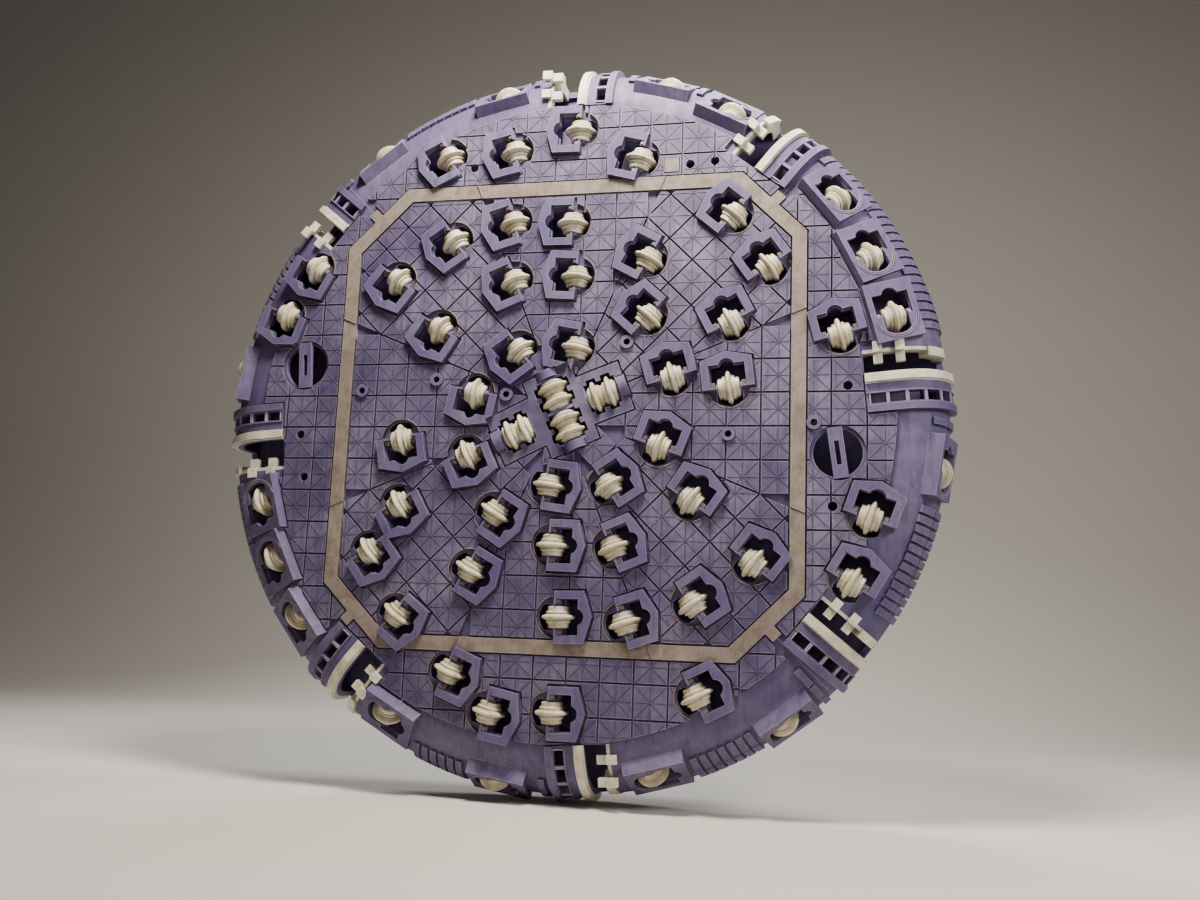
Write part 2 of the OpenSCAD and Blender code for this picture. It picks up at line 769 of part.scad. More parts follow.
// Part of the face that a leaning cutter's box takes up
module gauge_footprint(c, grow = 0) {
    rotate([0, 0, c[1]]) translate([c[0] - gauge_hw * cos(c[2]) - grow, -gauge_back - grow])
        square([rim_r, gauge_back + gauge_l + 2 * grow]);
}

// Saddle blocks of a cutter below the plate, from its middle out to half, each side moved out by grow
module saddle_blocks(half, grow = 0) {
    for (s = [-1, 1])
        translate([s * (half - saddle_w / 2), 0, saddle_top - saddle_h / 2])
            cube([saddle_w + 2 * grow, saddle_l + 2 * grow, saddle_h + 2 * grow], center = true);
}

// Shaft of a single cutter, laid in its saddle blocks
module cutter_shaft(half) {
    rotate([0, 90, 0]) cylinder(r = shaft_r, h = 2 * (slot_hw - seat_gap), center = true);
    saddle_blocks(half);
}

// Shafts and saddles of the flat cutters and the twins
module cutter_saddles() {
    slot = twin_l / 2 + twin_gap;
    color(DARK) laid() {
        for (c = concat(CENTRE_CUTTERS, OUTER_CUTTERS)) at_cutter(c) cutter_shaft(pocket_hw - seat_gap);
        for (c = TWIN_CUTTERS) at_cutter(c) {
            rotate([0, 90, 0]) cylinder(r = shaft_r, h = 2 * slot - 2 * eps, center = true);
            for (s = [-1, 1])
                translate([s * (slot - twin_saddle_t / 2 - seat_gap), 0, shaft_r + 2 * eps - saddle_h / 2])
                    cube([twin_saddle_t, 2 * (shoulder_r + twin_gap - seat_gap), saddle_h], center = true);
        }
    }
}

// Distance of a point from a line, on the side that is kept
function side_of(p, l) = l[1] - (p[0] * l[0][0] + p[1] * l[0][1]);
// An outline cut off at one line
function cut_by(poly, l) = [
    for (i = [0:len(poly) - 1])
        let (a = poly[i], b = poly[(i + 1) % len(poly)], sa = side_of(a, l), sb = side_of(b, l))
            each concat(sa >= 0 ? [a] : [], sa * sb < 0 ? [a + (b - a) * sa / (sa - sb)] : [])
];
// An outline cut off at all lines
function cut_all(poly, lines, i = 0) =
    i == len(lines) || len(poly) < 3 ? poly : cut_all(cut_by(poly, lines[i]), lines, i + 1);
function turned(p, a) = [p[0] * cos(a) - p[1] * sin(a), p[0] * sin(a) + p[1] * cos(a)];
function area(p) = len(p) < 3 ? 0 : 0.5 * abs([for (i = [0:len(p) - 1])
    let (a = p[i], b = p[(i + 1) % len(p)]) a[0] * b[1] - b[0] * a[1]] * [for (q = p) 1]);
// Line at distance d from the axis, square to angle a
function line_at(a, d) = [[cos(a), sin(a)], d];
// Whether a wear plate with its middle at m can reach something of radius r at q
function beside(m, q, r) = norm(m - q) < r + tile_pitch;

// How far a point stands out of the octagon grown by edge
function out_of_octagon(p, edge) = max(
    [for (k = [0:7]) p * [cos(k * 45), sin(k * 45)] - (k % 2 == 0 ? side_a : corner_a) - edge]);

// Wear plates of a sector round angle a, in rows square to it, inside or outside the joint
module tile_field(a, lines, from, to, half, outside = false) {
    edge = strip_w / 2 + tile_gap;
    for (i = [floor(from / tile_pitch):ceil(to / tile_pitch)])
        for (j = [-ceil(half / tile_pitch):ceil(half / tile_pitch)]) {
            x0 = i * tile_pitch + tile_gap / 2;
            y0 = (j - 0.5) * tile_pitch + tile_gap / 2;
            s = tile_pitch - tile_gap;
            square_points = [[x0, y0], [x0 + s, y0], [x0 + s, y0 + s], [x0, y0 + s]];
            p = cut_all([for (q = square_points) turned(q, a)], lines);
            reach = outside && len(p) > 0 ? max([for (q = p) out_of_octagon(q, edge)]) : s;
            nearest = outside && len(p) > 0 ? min([for (q = p) norm(q)]) : 0;
            if (area(p) > tile_least && reach > tile_side_least && nearest < flat_r - tile_side_least)
                wear_plate(p, outside);
        }
}

// One wear plate, cut back from everything that stands near it
module wear_plate(p, outside) {
    m = [for (i = [0:len(p) - 1]) 1] * p / len(p);
    linear_extrude(tile_t) difference() {
        polygon(p);
        if (outside) octagon(strip_w / 2 + tile_gap);
        for (c = concat(CENTRE_CUTTERS, OUTER_CUTTERS))
            if (beside(m, c[0] * [cos(c[1]), sin(c[1])], frame_l))
                rotate([0, 0, c[1]]) translate([c[0], 0]) {
                    frame_outline(tile_frame_gap);
                    circle(r = open_r + tile_frame_gap);
                }
        if (norm(m) < TWIN_CUTTERS[1][0] + twin_l + tile_pitch) twin_footprint(tile_gap);
        for (q = MANHOLES) if (beside(m, [q[0], q[1]], manhole_d / 2))
            translate([q[0], q[1]]) circle(d = manhole_d + 2 * manhole_margin);
        for (q = NOZZLES) if (beside(m, q, nozzle_d)) translate(q) circle(d = nozzle_d + 2 * nozzle_margin);
        for (q = PORTS) if (beside(m, q, port_d)) translate(q) circle(d = port_d);
        for (q = PADS) if (beside(m, q, pad_w)) translate(q) square(pad_w + tile_gap, center = true);
        if (norm(m) > side_a) {
            difference() {
                circle(r = rim_r);
                circle(r = flat_r - tile_gap, $fn = rim_fn);
            }
            for (b = BUCKETS)
                if (angle_between(b[1], atan2(m[1], m[0])) < bucket_reach)
                    bucket_footprint(b, tile_gap, tooth_seat);
            for (c = GAUGE_CUTTERS)
                if (angle_between(c[1], atan2(m[1], m[0])) < box_reach) gauge_footprint(c, tile_gap);
        }
    }
}

// Square wear plates of the whole face and the plates round the twins
module wear_plates() {
    edge = strip_w / 2 + tile_gap;
    inner = side_a - edge;
    color(BLUE) laid() translate([0, 0, seat_z]) {
        for (k = [0:7]) {
            a = k * 45;
            tile_field(a, concat(
                [for (q = [0:3]) line_at(q * 90, inner)],
                [for (q = [0:3]) line_at(q * 90 + 45, corner_a - edge)],
                [line_at(a + half_angle + 90, -tile_gap / 2), line_at(a - half_angle - 90, -tile_gap / 2)]),
                0, corner_a, corner_a * tan(half_angle));
            if (k % 2 == 0)
                tile_field(a,
                    [line_at(a + 135, -spoke_w / 2 - tile_gap), line_at(a - 135, -spoke_w / 2 - tile_gap)],
                    corner_a / sqrt(2), flat_r, flat_r, true);
        }
        linear_extrude(tile_t) difference() {
            twin_plate_outlines();
            twin_openings();
            twin_cap_outlines(seat_gap);
            flat_openings(CENTRE_CUTTERS);
        }
    }
}

// Cover strips on the joints and the square pads
module cover_strips() {
    color(BEIGE) laid() {
        translate([0, 0, seat_z]) linear_extrude(strip_t) difference() {
            union() {
                difference() {
                    octagon(strip_w / 2);
                    octagon(-strip_w / 2);
                }
                for (a = [45:90:315]) rotate([0, 0, a])
                    translate([corner_a, -spoke_w / 2]) square([spoke_l, spoke_w]);
            }
            frames_outline(concat(CENTRE_CUTTERS, OUTER_CUTTERS));
            flat_openings(concat(CENTRE_CUTTERS, OUTER_CUTTERS));
            for (q = NOZZLES) translate(q) circle(d = nozzle_d + 2 * nozzle_margin);
            for (m = MANHOLES) translate([m[0], m[1]]) circle(d = manhole_d + 2 * manhole_margin);
            for (a = [0:45:315]) for (s = [-1, 1]) rotate([0, 0, a + s * 22.5])
                translate([side_a / 2, -strip_gap / 2]) square([rim_r, strip_gap]);
        }
        for (q = PADS) translate([q[0], q[1], seat_z])
            linear_extrude(pad_t) square(pad_w, center = true);
    }
}

// Lips of the muck buckets, a foot with a narrower crest
module bucket_lips() {
    color(CREAM) laid() for (b = BUCKETS) {
        bucket_strip(b, -lip_w / 2, lip_w, seat_gap, lip_foot_h, bucket_foot);
        bucket_strip(b, lip_step - lip_w / 2, lip_w - 2 * lip_step, seat_gap, lip_h, bucket_foot);
    }
}

// Window plates behind the lips, each with rails along its windows and a bar at its far side,
// cut flat to the shell at the plate's middle
module bucket_grids() {
    end_z = corner_z - rib_down;
    far = -lip_w / 2 - grid_w;
    middle = asin((lip_w + grid_w) / 2 / rim_r);
    color(BLUE) laid() for (b = BUCKETS) difference() {
        union() {
            bucket_strip(b, far, grid_w - seat_gap, -shell_t, grid_h, end_z);
            bucket_strip(b, far, bar_back_w, grid_h / 2, bar_back_h, end_z);
            for (v = [-window_w / 2 - eps - rail_w, window_w / 2 + eps])
                bucket_strip(b, v - window_v, rail_w, grid_h / 2, rail_h, end_z);
        }
        rotate([0, 0, b[1] - middle]) translate([0, grid_w, 0]) rotate([90, 0, 0])
            linear_extrude(2 * grid_w) difference() {
                section_inside(seat_gap);
                square([side_a, face_z + shell_t]);
            }
        bucket_windows(b);
    }
}

// Wedge of the corner in section, from distance s0 to distance s1 along it
module corner_wedge(s0, s1) {
    reach = 2 * corner_r;
    a0 = s0 / corner_r * 180 / PI;
    a1 = s1 / corner_r * 180 / PI;
    translate([flat_r, corner_z])
        polygon([[0, 0], [reach * sin(a0), reach * cos(a0)], [reach * sin(a1), reach * cos(a1)]]);
}

// Liner, teeth and corner block on the far side of each muck opening, cut back from the boxes
module bucket_blocks() {
    color(CREAM) laid() for (b = BUCKETS) difference() {
        far_side(b, lip_w / 2 + b[2]);
        for (c = GAUGE_CUTTERS) if (angle_between(b[1], c[1]) < bucket_reach) gauge_block(c, seat_gap);
    }
}

// Those three for one bucket, whose opening ends at distance edge from the middle of its lip
module far_side(b, edge) {
    bucket_strip(b, edge - liner_t, liner_t - seat_gap, -liner_h, 0, bucket_foot);
    rotate([0, 0, b[1]]) {
        for (x = TEETH) translate([b[0] + x + tooth_w, 0, face_z]) rotate([90, 0, -90])
            linear_extrude(tooth_w)
                polygon([[seat_gap - edge, -tooth_deep], [tooth_out - edge, -tooth_deep],
                         [tooth_out - edge, -lip_step], [liner_t - edge, -lip_step],
                         [liner_t - edge, tooth_h], [-tooth_seat - edge, tooth_h],
                         [-tooth_seat - edge, seat_gap], [seat_gap - edge, seat_gap]]);
        translate([0, edge - seat_gap, 0]) rotate([90, 0, 0]) linear_extrude(heel_w) intersection() {
            section_strip(b[0], -liner_h, heel_h, corner_z);
            corner_wedge(heel_from, heel_from + heel_l);
        }
    }
}

// Section of a wear rib in blocks, without the part before distance first
module rib_section(first) {
    step = rib_block + rib_gap;
    difference() {
        section_strip(flat_r, seat_gap, rib_h, corner_z - rib_down);
        corner_wedge(-rib_gap, first);
        for (i = [1, 2]) corner_wedge(rib_start + i * step - rib_gap, rib_start + i * step);
    }
}

// Wear ribs across the corner of the rim
module rim_ribs() {
    count = round(PI * 2 * rim_r / rib_pitch);
    color(BLUE) laid() for (k = [0:count - 1]) {
        a = k * 360 / count;
        beside_frame = [for (c = OUTER_CUTTERS)
            if (c[0] > flat_r - frame_hw && angle_between(a, c[1]) < frame_reach) c];
        long = a > rib_long_from && a < rib_long_to && len(beside_frame) == 0;
        first = rib_start + (long ? 0 : rib_block + rib_gap / 2);
        in_bucket = [for (b = BUCKETS) if (within(turn_between(a, b[1]), BUCKET_FREE)) 1];
        near = [for (c = GAUGE_CUTTERS) if (angle_between(a, c[1]) < rib_reach) c];
        in_box = [for (c = GAUGE_CUTTERS) if (c[2] > box_lean && within(turn_between(a, c[1]), BOX_FREE)) 1];
        if (len(in_bucket) == 0 && len(in_box) == 0)
            difference() {
                rotate([0, 0, a]) translate([0, rib_w / 2, 0]) rotate([90, 0, 0])
                    linear_extrude(rib_w) rib_section(first);
                for (c = near) gauge_block(c, seat_gap);
            }
    }
}

// Manhole bars, nozzle rings and the round caps of the twins
module face_fittings() {
    slot_l = manhole_d / 2;
    color(BLUE) laid() {
        for (m = MANHOLES) translate([m[0], m[1], seat_z]) rotate([0, 0, m[2]])
            linear_extrude(bar_t) difference() {
                square([bar_w, manhole_d + 2 * bar_over], center = true);
                square([bar_w / 3, slot_l], center = true);
            }
        for (p = NOZZLES) translate([p[0], p[1], seat_z]) linear_extrude(nozzle_h) difference() {
            circle(d = nozzle_d);
            circle(d = nozzle_bore);
        }
        for (c = TWIN_CUTTERS) at_cutter(c) intersection() {
            translate([twin_l / 2 + twin_gap, 0, 0]) rotate([0, 90, 0])
                cylinder(d = twin_cap_d, h = twin_cap_l);
            translate([0, -twin_cap_d, seat_z - cutter_z]) cube([2 * twin_l, 2 * twin_cap_d, twin_cap_d]);
        }
    }
}

module twin(i) {
    color(CREAM) laid() at_cutter(TWIN_CUTTERS[i]) twin_cutter();
}

module centre_cutter(i) {
    color(CREAM) laid() at_cutter(CENTRE_CUTTERS[i]) single_cutter();
}

// Cutters of the outer segments, flat and leaning
module outer_cutters() {
    color(CREAM) laid() {
        for (c = OUTER_CUTTERS) at_cutter(c) single_cutter();
        for (c = GAUGE_CUTTERS) at_gauge(c) single_cutter();
    }
}

bearing_ring();
rotor_ring();
torque_tube();
centre_segment();
segment_right();
segment_top();
segment_left();
segment_bottom();
rear_plates();
chute_plates();
gauge_boxes();
cutter_housings();
cutter_frames();
cutter_saddles();
wear_plates();
cover_strips();
bucket_lips();
bucket_grids();
bucket_blocks();
rim_ribs();
face_fittings();
for (i = [0:3])
    twin(i);
for (i = [0:len(CENTRE_CUTTERS) - 1])
    centre_cutter(i);
outer_cutters();
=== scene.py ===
import json
import math

import bmesh
import bpy
import numpy as np
from bpy.props import FloatProperty, FloatVectorProperty, IntProperty, PointerProperty
from bpy.types import Operator, Panel, PropertyGroup
from mathutils import Matrix, Vector


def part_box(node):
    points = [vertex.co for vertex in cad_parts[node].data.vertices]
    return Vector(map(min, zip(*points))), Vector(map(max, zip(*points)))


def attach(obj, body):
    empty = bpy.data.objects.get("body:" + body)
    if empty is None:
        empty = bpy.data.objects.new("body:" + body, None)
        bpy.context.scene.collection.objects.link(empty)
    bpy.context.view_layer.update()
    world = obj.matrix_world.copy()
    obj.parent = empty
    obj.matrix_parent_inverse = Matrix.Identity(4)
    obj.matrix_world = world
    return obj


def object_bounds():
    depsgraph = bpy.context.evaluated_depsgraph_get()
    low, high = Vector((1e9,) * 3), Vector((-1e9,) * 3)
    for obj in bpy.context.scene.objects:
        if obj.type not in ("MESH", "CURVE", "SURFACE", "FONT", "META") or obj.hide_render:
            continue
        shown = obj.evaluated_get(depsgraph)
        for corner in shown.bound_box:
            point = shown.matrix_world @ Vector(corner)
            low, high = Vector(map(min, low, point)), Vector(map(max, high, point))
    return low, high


bl_info = {
    "name": "Tunnel Boring Cutterhead Finish",
    "version": (1, 0, 0),
    "blender": (4, 5, 0),
    "location": "3D View > Sidebar > Cutterhead",
    "description": "Paints the cutterhead and adds its weld beads, bolts, studio and camera",
    "category": "Object",
}

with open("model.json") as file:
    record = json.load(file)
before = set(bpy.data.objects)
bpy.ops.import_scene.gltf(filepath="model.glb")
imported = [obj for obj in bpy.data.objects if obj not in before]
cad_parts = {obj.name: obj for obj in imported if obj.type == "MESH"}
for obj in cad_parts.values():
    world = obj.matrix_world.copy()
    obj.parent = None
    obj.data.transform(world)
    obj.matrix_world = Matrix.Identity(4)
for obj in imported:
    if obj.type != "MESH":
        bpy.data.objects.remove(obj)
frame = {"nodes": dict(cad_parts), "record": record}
CAD_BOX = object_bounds()

MM = 0.001

# Levels of the face, in metres along the head's axis, read from the frame
PLATE_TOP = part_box("wear_plates")[0].y
FRAME_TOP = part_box("cutter_frames")[0].y
STRIP_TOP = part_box("cover_strips")[0].y
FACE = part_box("centre_segment")[0].y
SEAT = 0.3 * MM

# Squares of the wear plates, the joint and the cutters' openings, as the model sets them out
PLATE_PITCH = 0.430
PLATE_GAP = 0.026
OCTAGON_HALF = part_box("centre_segment")[1].x
OCTAGON_CORNER = (2 * OCTAGON_HALF - 0.770) / math.sqrt(2)
STRIP_HALF = 0.090
JOINTS = frame["record"]["behaviour"]["joints"]
CUTTER_LEVEL = min(joint["pos_m"][1] for joint in JOINTS)
OPENING_RADIUS = 0.242
PLATE_ROUND = OPENING_RADIUS + 0.030
BOX_RISE = 0.140

# The shell's section, a flat face with a round corner, and the windows of the buckets along it
RIM_RADIUS = 4.900
CORNER_RADIUS = 0.650
WINDOW_PITCH = 0.225
WINDOW_LENGTH = 0.185
WINDOW_WIDTH = 0.130
WINDOW_ROW = -0.257
GRID_RISE = 0.034

# Patterns of the finishes, as repeats in a metre, and the depth of the relief
CLOUD_SCALE = 1.0
PATCH_SCALE = 6.5
GRAIN_SCALE = 80.0
RUN_SCALE = 1.6
RUN_STRETCH = (9.0, 9.0, 1.1)
RELIEF_DEPTH = 3 * MM

# Beads across the wear plates stop short of the edge; the plates round the twins have none
BEAD_END = 6 * MM
SHORTEST_BEAD = 50 * MM
TWIN_REACH = 1.0
TWIN_PLATE_AREA = 0.25

# Size of other welds as a share of the weld radius, and the arcs on the leaning boxes
OPENING_WELD = 0.75
BOX_WELD = 0.8
JOINT_WELD = 1.3
BOX_ARC_MARGINS = (18 * MM, 42 * MM)
BOX_ARC_ENDS = (math.radians(186), math.radians(354))

# Wedge locks in the recesses: reach to each side, along the way round, and below their tops
LOCK_SIDES = (0.168, 0.229)
LOCK_ENDS = (-0.027, 0.062)
LOCK_HEIGHT = 0.150
LOCK_TOP = 0.120
LOCK_DROP = 0.055
LOCK_BOLT = (0.198, 0.020)
LOCK_BOLT_SHARE = 0.7
LOCK_CHAMFER = 6 * MM

# Posts between the windows of the buckets
WINDOW_START = 0.62
POST_STEP = 10 * MM
POST_LAP = 12 * MM
POST_HALF = 8 * MM
POST_FOOT = 10 * MM
POST_TOP = 14 * MM
POST_CHAMFER = 2 * MM

# Bearing: size of its ring's bolts, and four bolts in each of the drive flange's fields
RING_BOLT_SHARE = 1.1
DRIVE_RADIUS = 2.80
DRIVE_FIELDS = 24
DRIVE_STEPS = (-4.5, -1.5, 1.5, 4.5)

# Studio: floor and wall, and the lamps with place, aim, size, power and tint
FLOOR_REACH = 140.0
WALL_FOOT = 10.0
WALL_BEND = 12.0
WALL_HEIGHT = 70.0
WALL_STEPS = 12
LAMPS = (
    ("studio_key", (0.8, -5.6, 9.3), (0.2, -1.5, 3.4), 3.4, 3550.0, "#FFF7E8"),
    ("studio_side", (10.0, -7.0, 4.0), (3.0, -1.5, 1.0), 4.0, 900.0, "#FFF9F4"),
    ("studio_fill", (3.2, -15.0, -1.6), (0, -1.5, 0), 2.5, 115.0, "#FFE6F0"),
    ("studio_rim", (3.0, 2.5, 11.0), (0.5, -1.0, 4.0), 5.0, 1500.0, "#FFFFFF"),
    ("studio_back", (-6.0, 9.0, 8.0), (0, 0, 0), 8.0, 1500.0, "#FFFFFF"),
)

# The photograph's camera: yaw, pitch and roll in degrees, the focal length in pixels of a
# frame of that width, and the sensor's width in millimetres
CAMERA_PLACE = (3.535, -15.37, -2.753)
CAMERA_TURN = (-12.536, 9.18, 2.158)
FOCAL_PIXELS = 1090.0
IMAGE_WIDTH = 1200
SENSOR = 36.0


def colour(code):
    """An sRGB hex code as linear red, green, blue and alpha; a linear colour passes."""
    if not isinstance(code, str):
        return code
    parts = [int(code[i:i + 2], 16) / 255 for i in (1, 3, 5)]
    linear = [c / 12.92 if c <= 0.04045 else ((c + 0.055) / 1.055) ** 2.4 for c in parts]
    return (*linear, 1.0)


def put(tree, kind, settings=None, inputs=None):
    """Adds one node with its settings, and its inputs as values or links from other sockets."""
    made = tree.nodes.new(kind)
    for key, value in (settings or {}).items():
        setattr(made, key, value)
    for key, value in (inputs or {}).items():
        socket = made.inputs[key]
        if isinstance(value, bpy.types.NodeSocket):
            tree.links.new(value, socket)
        else:
            socket.default_value = value
    return made


class FinishSettings(PropertyGroup):
    paint: FloatVectorProperty(
        name="Paint", description="Violet-blue enamel of the steelwork", subtype="COLOR",
        size=4, min=0, max=1, default=colour("#463D6A"))
    dust: FloatVectorProperty(
        name="Dust", description="Rock dust that dulls the enamel", subtype="COLOR",
        size=4, min=0, max=1, default=colour("#645C7B"))
    cream: FloatVectorProperty(
        name="Cream", description="Cream enamel of cutters and lips", subtype="COLOR",
        size=4, min=0, max=1, default=colour("#DDD8C2"))
    edge_wear: FloatProperty(
        name="Edge wear", description="Width of the worn band along edges", subtype="DISTANCE",
        unit="LENGTH", min=0.001, max=0.05, default=0.014)
    score_radius: FloatProperty(
        name="Score radius", description="Half width of the beads across the wear plates",
        subtype="DISTANCE", unit="LENGTH", min=0.002, max=0.01, default=0.0055)
    weld_radius: FloatProperty(
        name="Weld radius", description="Size of the weld beads along frames and strips",
        subtype="DISTANCE", unit="LENGTH", min=0.004, max=0.02, default=0.011)
    bolt_size: FloatProperty(
        name="Bolt size", description="Width across a bolt head", subtype="DISTANCE",
        unit="LENGTH", min=0.02, max=0.1, default=0.06)
    bead_sides: IntProperty(
        name="Bead sides", description="Sides of a weld bead's section", min=4, max=12, default=6)


def coat(name, tones, wear, grime_and_shade, rough, edge_width, relief,
         chips=0.62, pocket=0.11, runs=0.0, metallic=0.0):
    """A worn steel surface: three tones, dirt runs, worn edges (also a painted highlight where
    their tone is near-white), dirt and painted shade in corners, fine relief.
    """
    tones = [colour(tone) for tone in tones]
    wear, grime_and_shade = colour(wear), colour(grime_and_shade)
    material = bpy.data.materials.new(name)
    material.use_nodes = True
    tree = material.node_tree
    tree.nodes.clear()
    place = put(tree, "ShaderNodeTexCoord").outputs["Object"]
    # Cloudy change of tone over about a metre, patches of 150 mm and a grain of 12 mm
    cloud, patch, grain = (
        put(tree, "ShaderNodeTexNoise", None, {
            "Vector": place, "Scale": scale, "Detail": detail, "Roughness": roughness})
        for scale, detail, roughness in ((CLOUD_SCALE, 4.0, 0.6), (PATCH_SCALE, 6.0, 0.66),
                                         (GRAIN_SCALE, 3.0, 0.6)))
    cloud_share = put(tree, "ShaderNodeMapRange", None, {
        "Value": cloud.outputs["Fac"], "From Min": 0.36, "From Max": 0.64})
    patch_share = put(tree, "ShaderNodeMapRange", None, {
        "Value": patch.outputs["Fac"], "From Min": 0.42, "From Max": 0.68})
    base = put(tree, "ShaderNodeMix", {"data_type": "RGBA"}, {
        "Factor": cloud_share.outputs["Result"], "A": tones[0], "B": tones[1]})
    patched = put(tree, "ShaderNodeMix", {"data_type": "RGBA"}, {
        "Factor": patch_share.outputs["Result"], "A": base.outputs["Result"], "B": tones[2]})
    # Runs of dirt that water drew down the standing face, 60 mm wide and most of a metre long
    stretched = put(tree, "ShaderNodeVectorMath", {"operation": "MULTIPLY"}, {
        0: place, 1: RUN_STRETCH})
    run = put(tree, "ShaderNodeTexNoise", None, {
        "Vector": stretched.outputs["Vector"], "Scale": RUN_SCALE, "Detail": 5.0,
        "Roughness": 0.6})
    run_share = put(tree, "ShaderNodeMapRange", None, {
        "Value": run.outputs["Fac"], "From Min": 0.50, "From Max": 0.72, "To Max": runs})
    streaked = put(tree, "ShaderNodeMix", {"data_type": "RGBA"}, {
        "Factor": run_share.outputs["Result"], "A": patched.outputs["Result"], "B": grime_and_shade})
    # Painted shade: ambient occlusion darkens corners, creases and gaps toward the grime colour,
    # partly dirt that settles there and partly the shade that falls there
    corner = put(tree, "ShaderNodeAmbientOcclusion", {"samples": 6}, {"Distance": pocket})
    painted_shade_share = put(tree, "ShaderNodeMapRange", None, {
        "Value": corner.outputs["AO"], "From Min": 0.86, "From Max": 0.30, "To Max": 0.85})
    uneven = put(tree, "ShaderNodeMapRange", None, {
        "Value": patch.outputs["Fac"], "From Min": 0.30, "From Max": 0.62, "To Min": 0.45})
    broken = put(tree, "ShaderNodeMath", {"operation": "MULTIPLY"}, {
        0: painted_shade_share.outputs["Result"], 1: uneven.outputs["Result"]})
    streaked_and_shaded = put(tree, "ShaderNodeMix", {"data_type": "RGBA"}, {
        "Factor": broken.outputs["Value"], "A": streaked.outputs["Result"], "B": grime_and_shade})
    # Edges are rubbed where the rounded normal leaves the true one; where the wear tone is
    # near-white, as on the cutters' rings, this band is also a painted highlight
    rounded = put(tree, "ShaderNodeBevel", {"samples": 4}, {"Radius": edge_width})
    true = put(tree, "ShaderNodeNewGeometry")
    lean = put(tree, "ShaderNodeVectorMath", {"operation": "DOT_PRODUCT"}, {
        0: rounded.outputs["Normal"], 1: true.outputs["Normal"]})
    edge = put(tree, "ShaderNodeMapRange", None, {
        "Value": lean.outputs["Value"], "From Min": 0.995, "From Max": 0.86})
    chipped = put(tree, "ShaderNodeMapRange", None, {
        "Value": grain.outputs["Fac"], "From Min": chips - 0.28, "From Max": chips, "To Min": 0.35})
    rubbed = put(tree, "ShaderNodeMath", {"operation": "MULTIPLY"}, {
        0: edge.outputs["Result"], 1: chipped.outputs["Result"]})
    worn = put(tree, "ShaderNodeMix", {"data_type": "RGBA"}, {
        "Factor": rubbed.outputs["Value"], "A": streaked_and_shaded.outputs["Result"], "B": wear})
    gloss = put(tree, "ShaderNodeMapRange", None, {
        "Value": patch.outputs["Fac"], "From Min": 0.3, "From Max": 0.7,
        "To Min": rough - 0.1, "To Max": rough + 0.14})
    height = put(tree, "ShaderNodeMath", {"operation": "MULTIPLY_ADD"}, {
        0: patch.outputs["Fac"], 1: 1.6, 2: grain.outputs["Fac"]})
    bump = put(tree, "ShaderNodeBump", None, {
        "Height": height.outputs["Value"], "Strength": relief, "Distance": RELIEF_DEPTH})
    shader = put(tree, "ShaderNodeBsdfPrincipled", None, {
        "Base Color": worn.outputs["Result"], "Roughness": gloss.outputs["Result"],
        "Metallic": metallic, "Normal": bump.outputs["Normal"]})
    put(tree, "ShaderNodeOutputMaterial", None, {"Surface": shader.outputs["BSDF"]})
    return material


def merged(obj):
    """Points of a node without doubles, and its triangles as rows of those points."""
    mesh = obj.data
    points = np.zeros(len(mesh.vertices) * 3)
    mesh.vertices.foreach_get("co", points)
    points = points.reshape(-1, 3)
    mesh.calc_loop_triangles()
    tris = np.zeros(len(mesh.loop_triangles) * 3, int)
    mesh.loop_triangles.foreach_get("vertices", tris)
    keys = np.round(points / (0.02 * MM)).astype(np.int64)
    single, index = np.unique(keys, axis=0, return_inverse=True)
    index = index.reshape(-1)
    places = np.zeros((len(single), 3))
    places[index] = points
    return places, index[tris.reshape(-1, 3)]


def outline(obj, level):
    """Edges round the flat faces of a node that lie at one level along the axis."""
    places, tris = merged(obj)
    flat = tris[(np.abs(places[tris][:, :, 1] - level) < 0.1 * MM).all(axis=1)]
    a, b, c = flat.T
    flat = flat[(a != b) & (b != c) & (a != c)]
    edges = np.sort(np.concatenate([flat[:, [0, 1]], flat[:, [1, 2]], flat[:, [2, 0]]]), axis=1)
    found, used = np.unique(edges, axis=0, return_counts=True)
    return places, flat, found[used == 1]


def islands(flat):
    """Groups of triangles that hang together, as lists of rows."""
    parent = {}

    def root(a):
        while parent.setdefault(a, a) != a:
            parent[a] = parent[parent[a]]
            a = parent[a]
        return a

    for a, b, c in flat:
        parent[root(a)] = root(b)
        parent[root(b)] = root(c)
    groups = {}
    for row, tri in enumerate(flat):
        groups.setdefault(root(tri[0]), []).append(row)
    return list(groups.values())


def spans(start, end, corners):
    """Parts of the line from start to end that lie on the triangles, as pairs of shares."""
    step = end - start
    found = []
    for tri in corners:
        low, high = 0.0, 1.0
        middle = tri.mean(axis=0)
        for k in range(3):
            a, b = tri[k], tri[(k + 1) % 3]
            side = np.array([b[1] - a[1], a[0] - b[0]])
            if side @ (middle - a) < 0:
                side = -side
            base, rate = side @ (start - a), side @ step
            if abs(rate) < 1e-12:
                if base < 0:
                    low, high = 1.0, 0.0
                continue
            cut = -base / rate
            if rate > 0:
                low = max(low, cut)
            else:
                high = min(high, cut)
        if high - low > 1e-4:
            found.append([low, high])
    found.sort()
    joined = []
    for low, high in found:
        if joined and low - joined[-1][1] < 0.004:
            joined[-1][1] = max(joined[-1][1], high)
        else:
            joined.append([low, high])
    return joined


def placed(middle, x, y, z):
    """The frame with its middle and its three axes."""
    return Matrix.Translation(middle) @ Matrix((x, y, z)).transposed().to_4x4()


